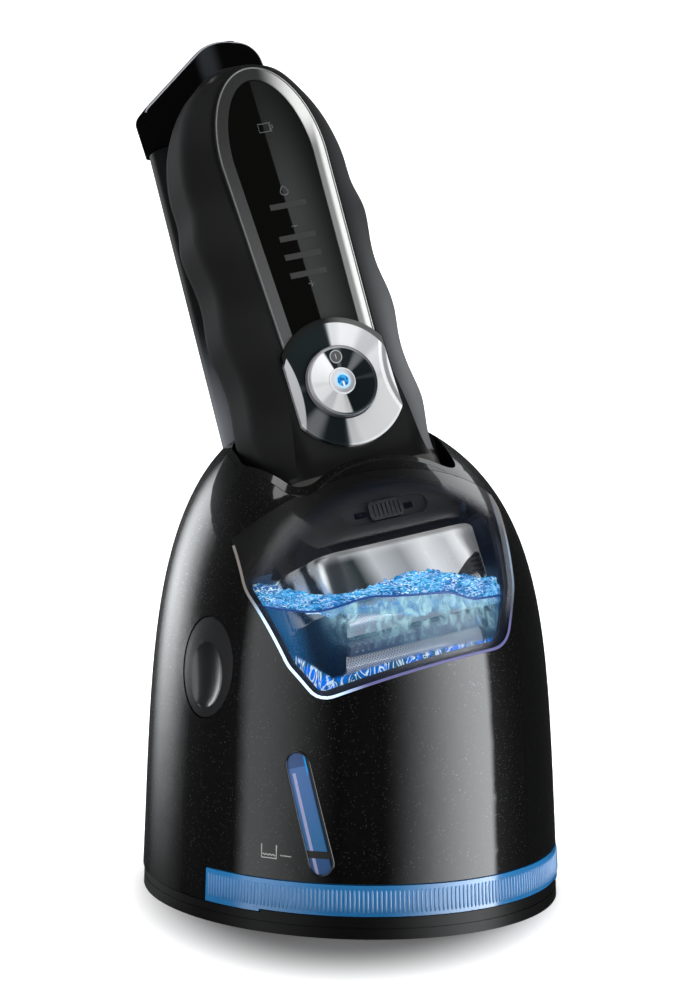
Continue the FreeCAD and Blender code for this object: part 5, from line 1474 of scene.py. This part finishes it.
@dataclass
class FrontFluid:
    """Fluid, water line and foam against the pane."""

    line_stops: tuple[Point2, ...] = ((-46.0, 88.4), (-32.0, 87.7), (-15.0, 92.3), (4.0, 92.6),
                                      (15.0, 89.9), (27.0, 89.6))
    crest_stops: tuple[Point2, ...] = ((-46.0, 94.0), (-28.0, 92.3), (-2.0, 98.5),
                                       (27.0, 94.2))
    sheet_angles: Point2 = (-27.0, 56.0)
    foam_insets: Point2 = (2.85, 4.3)
    foam_rough: float = 0.8
    swell_insets: Point2 = (3.6, 4.3)
    swell_rough: float = 0.1
    columns: int = 230
    rows: int = 12
    line_inset: float = 2.8
    line_half: float = 0.3

    def height(self, stops: Sequence[Point2], x: float) -> float:
        """Smooth height at a place across, through (x, z) stops."""
        for (x0, z0), (x1, z1) in zip(stops, stops[1:]):
            if x <= x1:
                t = min(max((x - x0) / (x1 - x0), 0.0), 1.0)
                return z0 + (z1 - z0) * t * t * (3 - 2 * t)
        return stops[-1][1]

    def front_sheet(self, bm: bmesh.types.BMesh, low: Callable[[float], float],
                    high: Callable[[float], float], insets: Point2, rough: float) -> None:
        """Closed sheet behind the pane, between two heights.

        Args:
            bm: mesh to add to.
            low: lower height at a place across, in millimetres.
            high: upper height at a place across.
            insets: distances of its front and back inside the dome.
            rough: depth of the bumps on its front.
        """
        right, left = self.sheet_angles
        columns, rows = self.columns, self.rows
        front, back = [], []
        for k in range(columns + 1):
            angle = right + (left - right) * k / columns
            x = DOME.around(angle, FLUID_TOP, -insets[0]).x / MM
            z0, z1 = low(x), high(x)
            for grid, inset, depth in ((front, insets[0], rough), (back, insets[1], 0.0)):
                column = []
                for r in range(rows + 1):
                    z = z0 + (z1 - z0) * r / rows
                    place = DOME.around(angle, z) / MM
                    bump = noise.noise(place / 1.5) * 0.6 + noise.noise(place / 4.0) * 0.4
                    column.append(bm.verts.new(DOME.around(angle, z, -inset - depth
                                                           * (0.5 - bump))))
                grid.append(column)
        for k in range(columns):
            for r in range(rows):
                for grid in (front, back):
                    bm.faces.new((grid[k][r], grid[k + 1][r], grid[k + 1][r + 1], grid[k][r + 1]))
            for r in (0, rows):
                bm.faces.new((front[k][r], front[k + 1][r], back[k + 1][r], back[k][r]))
        for k in (0, columns):
            for r in range(rows):
                bm.faces.new((front[k][r], front[k][r + 1], back[k][r + 1], back[k][r]))

    def build(self) -> None:
        """Foam on the pane, the water line under it and the fluid that swells up to it."""
        def line(x: float) -> float:
            """Water line."""
            return self.height(self.line_stops, x)

        def crest(x: float) -> float:
            """Ragged top of the foam."""
            at = Vector((x, 0, 0))
            return (self.height(self.crest_stops, x) + noise.noise(at / 1.1) * 0.7
                    + noise.noise(at / 4.0) * 0.6)

        def foam(bm: bmesh.types.BMesh) -> None:
            self.front_sheet(bm, line, crest, self.foam_insets, self.foam_rough)

        def swell(bm: bmesh.types.BMesh) -> None:
            self.front_sheet(bm, lambda x: FLUID_TOP - 0.5, line, self.swell_insets,
                             self.swell_rough)
        add_piece("foam_band", foam, "housing", Finish.FOAM)
        add_piece("bath_swell", swell, "housing", Finish.FLUID)
        right, left = self.sheet_angles
        path = []
        for k in range(121):
            angle = right + (left - right) * k / 120
            x = DOME.around(angle, FLUID_TOP, -self.line_inset).x / MM
            path.append(DOME.around(angle, line(x), -self.line_inset))

        def outward(i: int) -> Vector:
            """Away from the axis."""
            return Vector((path[i].x, path[i].y, 0)).normalized()

        def thread(bm: bmesh.types.BMesh) -> None:
            line_piece(bm, path, outward, self.line_half, flat=0.4)
        add_piece("water_line", thread, "housing", Finish.WATER_LINE)


@dataclass
class DisplayMarks:
    """Dim level bars and generic marks on the shaver's display pane."""

    face_n: float = 19.4
    bar_us: tuple[float, ...] = (73.5, 63.9, 58.4, 52.9)
    bar_half: float = 5.6
    bar_thick: float = 0.85
    bar_rise: float = 0.05
    sign_half: float = 0.9
    plus_u: float = 49.8
    minus_u: float = 67.1
    drop_u: float = 77.9
    battery: tuple[float, float, float, float] = (95.8, 98.3, -2.0, 1.8)
    line_half: float = 0.17

    def at(self, x: float, u: float) -> Vector:
        """Point on the pane's face."""
        return DOCK.point(x, self.face_n + 0.01, u)

    def bars(self, bm: bmesh.types.BMesh) -> None:
        """Thin raised plates, one for each level."""
        for u in self.bar_us:
            low, high = u - self.bar_thick, u + self.bar_thick
            x0, x1 = -self.bar_half, self.bar_half
            ring = [(x0, low), (x1, low), (x1, high), (x0, high)]
            prism(bm, *([DOCK.point(x, self.face_n + side, at) for x, at in ring]
                        for side in (-self.bar_rise, self.bar_rise)))

    def strokes(self) -> Iterable[tuple[list[Point2], bool]]:
        """Strokes of the plus, minus, drop and battery marks."""
        arm = self.sign_half
        yield [(-arm, self.plus_u), (arm, self.plus_u)], False
        yield [(0.0, self.plus_u - arm), (0.0, self.plus_u + arm)], False
        yield [(-arm, self.minus_u), (arm, self.minus_u)], False
        yield [(1.05 * math.sin(a) * (1 + 0.25 * math.cos(a)) ** 2,
                self.drop_u - 1.35 * math.cos(a)) for a in turns(16)], True
        low, high, left, right = self.battery
        yield [(left, low), (right, low), (right, high), (left, high)], True
        yield [(right + 0.45, low + 0.7), (right + 0.45, high - 0.7)], False
        yield [(right - 0.35, low + 0.3), (right - 0.35, high - 0.3)], False

    def build(self) -> None:
        """Bars and marks on the shaver."""
        add_piece("level_bars", self.bars, "shaver", Finish.BAR, False)

        def fill(bm: bmesh.types.BMesh) -> None:
            for stroke, closed in self.strokes():
                line_piece(bm, [self.at(x, u) for x, u in stroke], DOCK.axis(0, 1, 0),
                           self.line_half, closed, 0.4)
        add_piece("display_marks", fill, "shaver", Finish.PANEL_MARK)


@dataclass
class FrameTrim:
    """Grey edge line on the U-shaped frame, and the on mark on the button."""

    top_u: float = 115.5
    top_x: float = 16.3
    arc_u: float = 88.0
    waist_u: float = 32.5
    waist_x: float = 14.2
    foot_u: float = 31.5
    face_n: float = 19.7
    button_u: float = 20.2
    dish_n: float = 20.76
    dish_rise: float = 0.115
    line_half: float = 0.22
    mark_away: float = 7.1
    mark_radius: float = 1.75
    mark_half: float = 0.13
    mark_lift: float = 0.06
    stem_half: float = 0.75
    field_lifts: Point2 = (-0.12, 0.02)

    def arch(self, inset: float) -> list[Point2]:
        """The frame's outline, from its left foot over the top to its right foot."""
        wide, waist = self.top_x - inset, self.waist_x - inset
        slope = (wide - waist) / (self.arc_u - self.waist_u)
        foot = waist - slope * (self.waist_u - self.foot_u)
        left = [(-foot - slope * (self.arc_u - self.foot_u) * k / 12,
                 self.foot_u + (self.arc_u - self.foot_u) * k / 12) for k in range(12)]
        rise = self.top_u - inset - self.arc_u
        bow = [(-wide * math.cos(a), self.arc_u + rise * math.sin(a)) for a in turns(72)[:37]]
        return left + bow + [(-x, u) for x, u in reversed(left)]

    def on_dish(self, x: float, u: float, lift: float) -> Vector:
        """Point over the button's dished face."""
        radius = math.hypot(x, u - self.button_u)
        n = self.dish_n + (radius - self.mark_away) * self.dish_rise
        return DOCK.point(x, n + lift, u)

    def build(self) -> None:
        """Edge line just inside the frame's outer edge, and the on mark."""
        out = DOCK.axis(0, 1, 0)

        def edge(bm: bmesh.types.BMesh) -> None:
            path = [DOCK.point(x, self.face_n, u) for x, u in self.arch(0.35)]
            line_piece(bm, path, out, self.line_half, flat=0.6)
        add_piece("frame_edge_line", edge, "shaver", Finish.EDGE_GREY)

        centre_u, radius = self.button_u + self.mark_away, self.mark_radius
        circle = [(radius * math.sin(a), centre_u + radius * math.cos(a)) for a in turns(32)]

        def mark(bm: bmesh.types.BMesh) -> None:
            ring = [self.on_dish(x, u, self.mark_lift) for x, u in circle]
            line_piece(bm, ring, out, self.mark_half, True, 0.5)
            stem = [self.on_dish(0, centre_u + d, self.mark_lift)
                    for d in (-self.stem_half, self.stem_half)]
            line_piece(bm, stem, out, self.mark_half, flat=0.5)

        def disc(bm: bmesh.types.BMesh) -> None:
            prism(bm, *([self.on_dish(x, u, lift) for x, u in circle]
                        for lift in self.field_lifts))
        add_piece("on_mark", mark, "power_button", Finish.ON_MARK)
        add_piece("on_field", disc, "power_button", Finish.ON_FIELD, False)


@dataclass
class CapTrim:
    """Silver line over the arm's cap, along its front edge."""

    corners: tuple[Corner, ...] = ((-20.6, 107.3, 0.0), (-20.9, 119.0, 3.5), (5.6, 137.3, 14.0),
                      (19.8, 133.9, 8.0), (21.0, 122.0, 3.0), (20.6, 107.3, 0.0))
    front_n: float = -14.2
    sink: float = 1.0
    half: float = 0.8
    from_u: float = 118.0

    def build(self) -> None:
        """Line sunk in the edge's rounding, so that only a strip of it shows."""
        loop = [Vector(p) for p in rounded_path(self.corners, 0.8)]
        path = []
        for before, here, after in zip(loop[-1:] + loop[:-1], loop, loop[1:] + loop[:1]):
            run = (after - before).normalized()
            if here.y > self.from_u:
                path.append(DOCK.point(here.x + run.y * self.sink, self.front_n - self.sink,
                                       here.y - run.x * self.sink))

        def fill(bm: bmesh.types.BMesh) -> None:
            line_piece(bm, path, DOCK.axis(0, 1, 0), self.half, sides=16)
        add_piece("cap_rim_line", fill, "housing", Finish.RIM_SILVER)


# ------------------------------------------------------------------ studio
@dataclass(frozen=True)
class Card:
    """Upright lit card, bent round the part's axis.

    Angles are degrees from the front towards the right, and lengths are metres. The glow
    rises over a share of the width from the first edge and falls to the last one.
    """

    name: str
    first: float
    last: float
    strength: float
    low: float = -0.4
    high: float = 0.4
    rise: float = 0.02
    fall: float = 1.0
    foot: float = -0.5
    reach: float = 0.9

    def build(self) -> None:
        """Bent sheet that the camera and plain surfaces don't see."""
        count = 24

        def fill(bm: bmesh.types.BMesh) -> None:
            angles = [math.radians(self.first + (self.last - self.first) * k / count)
                      for k in range(count + 1)]
            strip(bm, ([(math.sin(a) * self.reach, -math.cos(a) * self.reach, z)
                        for z in (self.low, self.high)] for a in angles))
        mesh = mesh_from(fill)
        mesh.materials.append(self.glow())
        made = linked(self.name, mesh)
        made.visible_camera = made.visible_shadow = made.visible_diffuse = False

    def glow(self) -> bpy.types.Material:
        """Emission by angle round the part and by height."""
        g = Graph(self.name)
        middle = math.radians((self.first + self.last) / 2)
        half = math.sin(math.radians((self.last - self.first) / 2)) * self.reach / MM
        turned = g.along(Vector((math.cos(middle), math.sin(middle), 0)))
        share = turned * (0.5 / half) + 0.5
        z = g.along(Vector((0, 0, 1)))
        level = share.band(0.0, self.rise, 1 - self.fall, 1.0)
        level = level * z.ramp(self.foot / MM, self.foot / MM + 300.0)
        return g.surface(base_color=(0, 0, 0), roughness=1.0, specular_ior_level=0.0,
                         emission_color=g.mix(level, (0, 0, 0), (0.95, 0.98, 1.0)),
                         emission_strength=self.strength)


@dataclass(frozen=True)
class Softbox:
    """Rectangular light that looks at the part, in metres and watts."""

    name: str
    place: Point3
    size: Point2
    power: float
    gloss: bool = False
    aim: Point3 = (0.0, 0.0, 0.11)

    def build(self) -> None:
        """Light that the camera doesn't see, and reflections only where gloss says so."""
        data = bpy.data.lights.new(self.name, "AREA")
        data.shape, data.size, data.size_y = "RECTANGLE", *self.size
        data.energy = self.power
        made = linked(self.name, data)
        away = Vector(self.place)
        made.location = away
        made.rotation_euler = (away - Vector(self.aim)).to_track_quat("Z", "Y").to_euler()
        made.visible_camera, made.visible_glossy = False, self.gloss


@dataclass
class Studio:
    """Pale floor with a painted contact shadow, soft lights and the camera, in metres apart from
    the shade and the lens.
    """

    azimuth: float = -24.0
    elevation: float = 7.1
    distance: float = 1.0
    target: Point3 = (0.0, 0.0, 0.1118)
    lens: float = 126.0
    shift_x: float = 0.001
    half_width: float = 3.0
    front_y: float = -2.5
    wall_z: float = 3.0
    sweep_y: float = 0.9
    sweep_r: float = 0.6
    # Reach of the painted contact shadow from the base, in millimetres.
    shade: Point2 = (72.0, 142.0)
    shade_squeeze: float = 3.4
    air: Colour = (0.9, 0.94, 1.0)
    air_strength: float = 0.03
    boxes: tuple[Softbox, ...] = (
        Softbox("front_fill", (-0.35, -1.2, 0.5), (0.9, 0.9), 3.0),
        Softbox("back_fill", (0.3, 1.1, 0.5), (0.9, 0.9), 2.0),
        Softbox("top_box", (0.05, -0.1, 1.1), (1.0, 1.0), 13.0),
        Softbox("top_shine", (-0.35, 0.45, 0.9), (0.5, 0.12), 0.8, True),
    )
    cards: tuple[Card, ...] = (
        Card("card_right", 61.0, -20.0, 10.6, high=0.36, rise=0.06, fall=0.95),
        Card("card_arch", -103.0, -42.0, 2.2, high=1.3, rise=0.16, fall=0.84),
        Card("card_left", -132.0, -180.0, 4.6, high=0.38, rise=0.5, fall=0.4, foot=-0.2),
        Card("card_face", 46.0, 0.0, 0.9, low=0.5, high=1.1, rise=0.1, fall=0.1),
        Card("card_rim", 95.0, 142.0, 2.2, low=0.42, high=1.0, rise=0.3, fall=0.3),
    )

    def build_stage(self) -> None:
        """Floor that sweeps up into a backdrop, with a painted contact shadow round the base."""
        def fill(bm: bmesh.types.BMesh) -> None:
            start, r = self.sweep_y, self.sweep_r
            profile = [(self.front_y, 0.0), (start, 0.0)]
            profile += [(start + r * math.sin(a), r - r * math.cos(a)) for a in turns(48)[1:13]]
            profile.append((start + r, self.wall_z))
            strip(bm, ([(x, y, z) for x in (-self.half_width, self.half_width)]
                       for y, z in profile))
        mesh = mesh_from(fill)
        g = Graph("stage_paper")
        tone = g.mix(g.noise(60.0), (0.86, 0.86, 0.865), (0.90, 0.90, 0.905))
        x, y = g.along(Vector((1, 0, 0))), g.along(Vector((0, 1, 0)))
        # Painted contact shadow: colour and glow darken towards the base.
        clear_of_painted_shadow = ((x * x * self.shade_squeeze + y * y) ** 0.5).ramp(*self.shade)
        glow = g.mix(clear_of_painted_shadow, (0.06, 0.06, 0.06), tone)
        paper = g.mix(clear_of_painted_shadow, (0.12, 0.12, 0.12), tone)
        mesh.materials.append(g.surface(base_color=paper, roughness=0.9, emission_color=glow,
                                        specular_ior_level=0.0, emission_strength=0.85))
        made = linked("stage_floor", mesh)
        made.matrix_world = Matrix.Rotation(math.radians(self.azimuth), 4, "Z")
        made.visible_glossy = made.visible_shadow = False
        for polygon in mesh.polygons:
            polygon.use_smooth = True

    def build_lights(self) -> None:
        """Soft lights, the cards that the gloss mirrors, and faint light from all round."""
        for light in self.boxes + self.cards:
            light.build()
        world = bpy.data.worlds.new("studio_air")
        world.use_nodes = True
        back = world.node_tree.nodes["Background"]
        back.inputs[0].default_value = (*self.air, 1.0)
        back.inputs[1].default_value = self.air_strength
        bpy.context.scene.world = world

    def build_camera(self) -> None:
        """Long lens from the front left, a little above the part's middle."""
        a, e = math.radians(self.azimuth), math.radians(self.elevation)
        back = Vector((math.sin(a) * math.cos(e), -math.cos(a) * math.cos(e), math.sin(e)))
        data = bpy.data.cameras.new("camera")
        data.lens, data.sensor_width, data.sensor_fit = self.lens, 36.0, "AUTO"
        data.shift_x = self.shift_x
        data.clip_start, data.clip_end = 0.01, 20.0
        made = linked("camera", data)
        made.location = Vector(self.target) + back * self.distance
        made.rotation_euler = back.to_track_quat("Z", "Y").to_euler()
        bpy.context.scene.camera = made

    def build(self) -> None:
        """Camera, lights and stage."""
        self.build_camera()
        self.build_lights()
        self.build_stage()
        bpy.context.scene.view_settings.view_transform = "Standard"


def main() -> None:
    """Build the studio, dress the solids and add each sub-assembly's pieces."""
    logging.basicConfig(level=logging.INFO, format="%(name)s: %(message)s")
    Studio().build()
    CarriedNodes().dress()
    for assembly in (CartridgeBand(), HousingMarks(), WindowEdge(), Waves(), FrontFluid(),
                     DisplayMarks(), FrameTrim(), CapTrim()):
        assembly.build()
    bpy.context.view_layer.update()


if __name__ == "__main__":
    main()
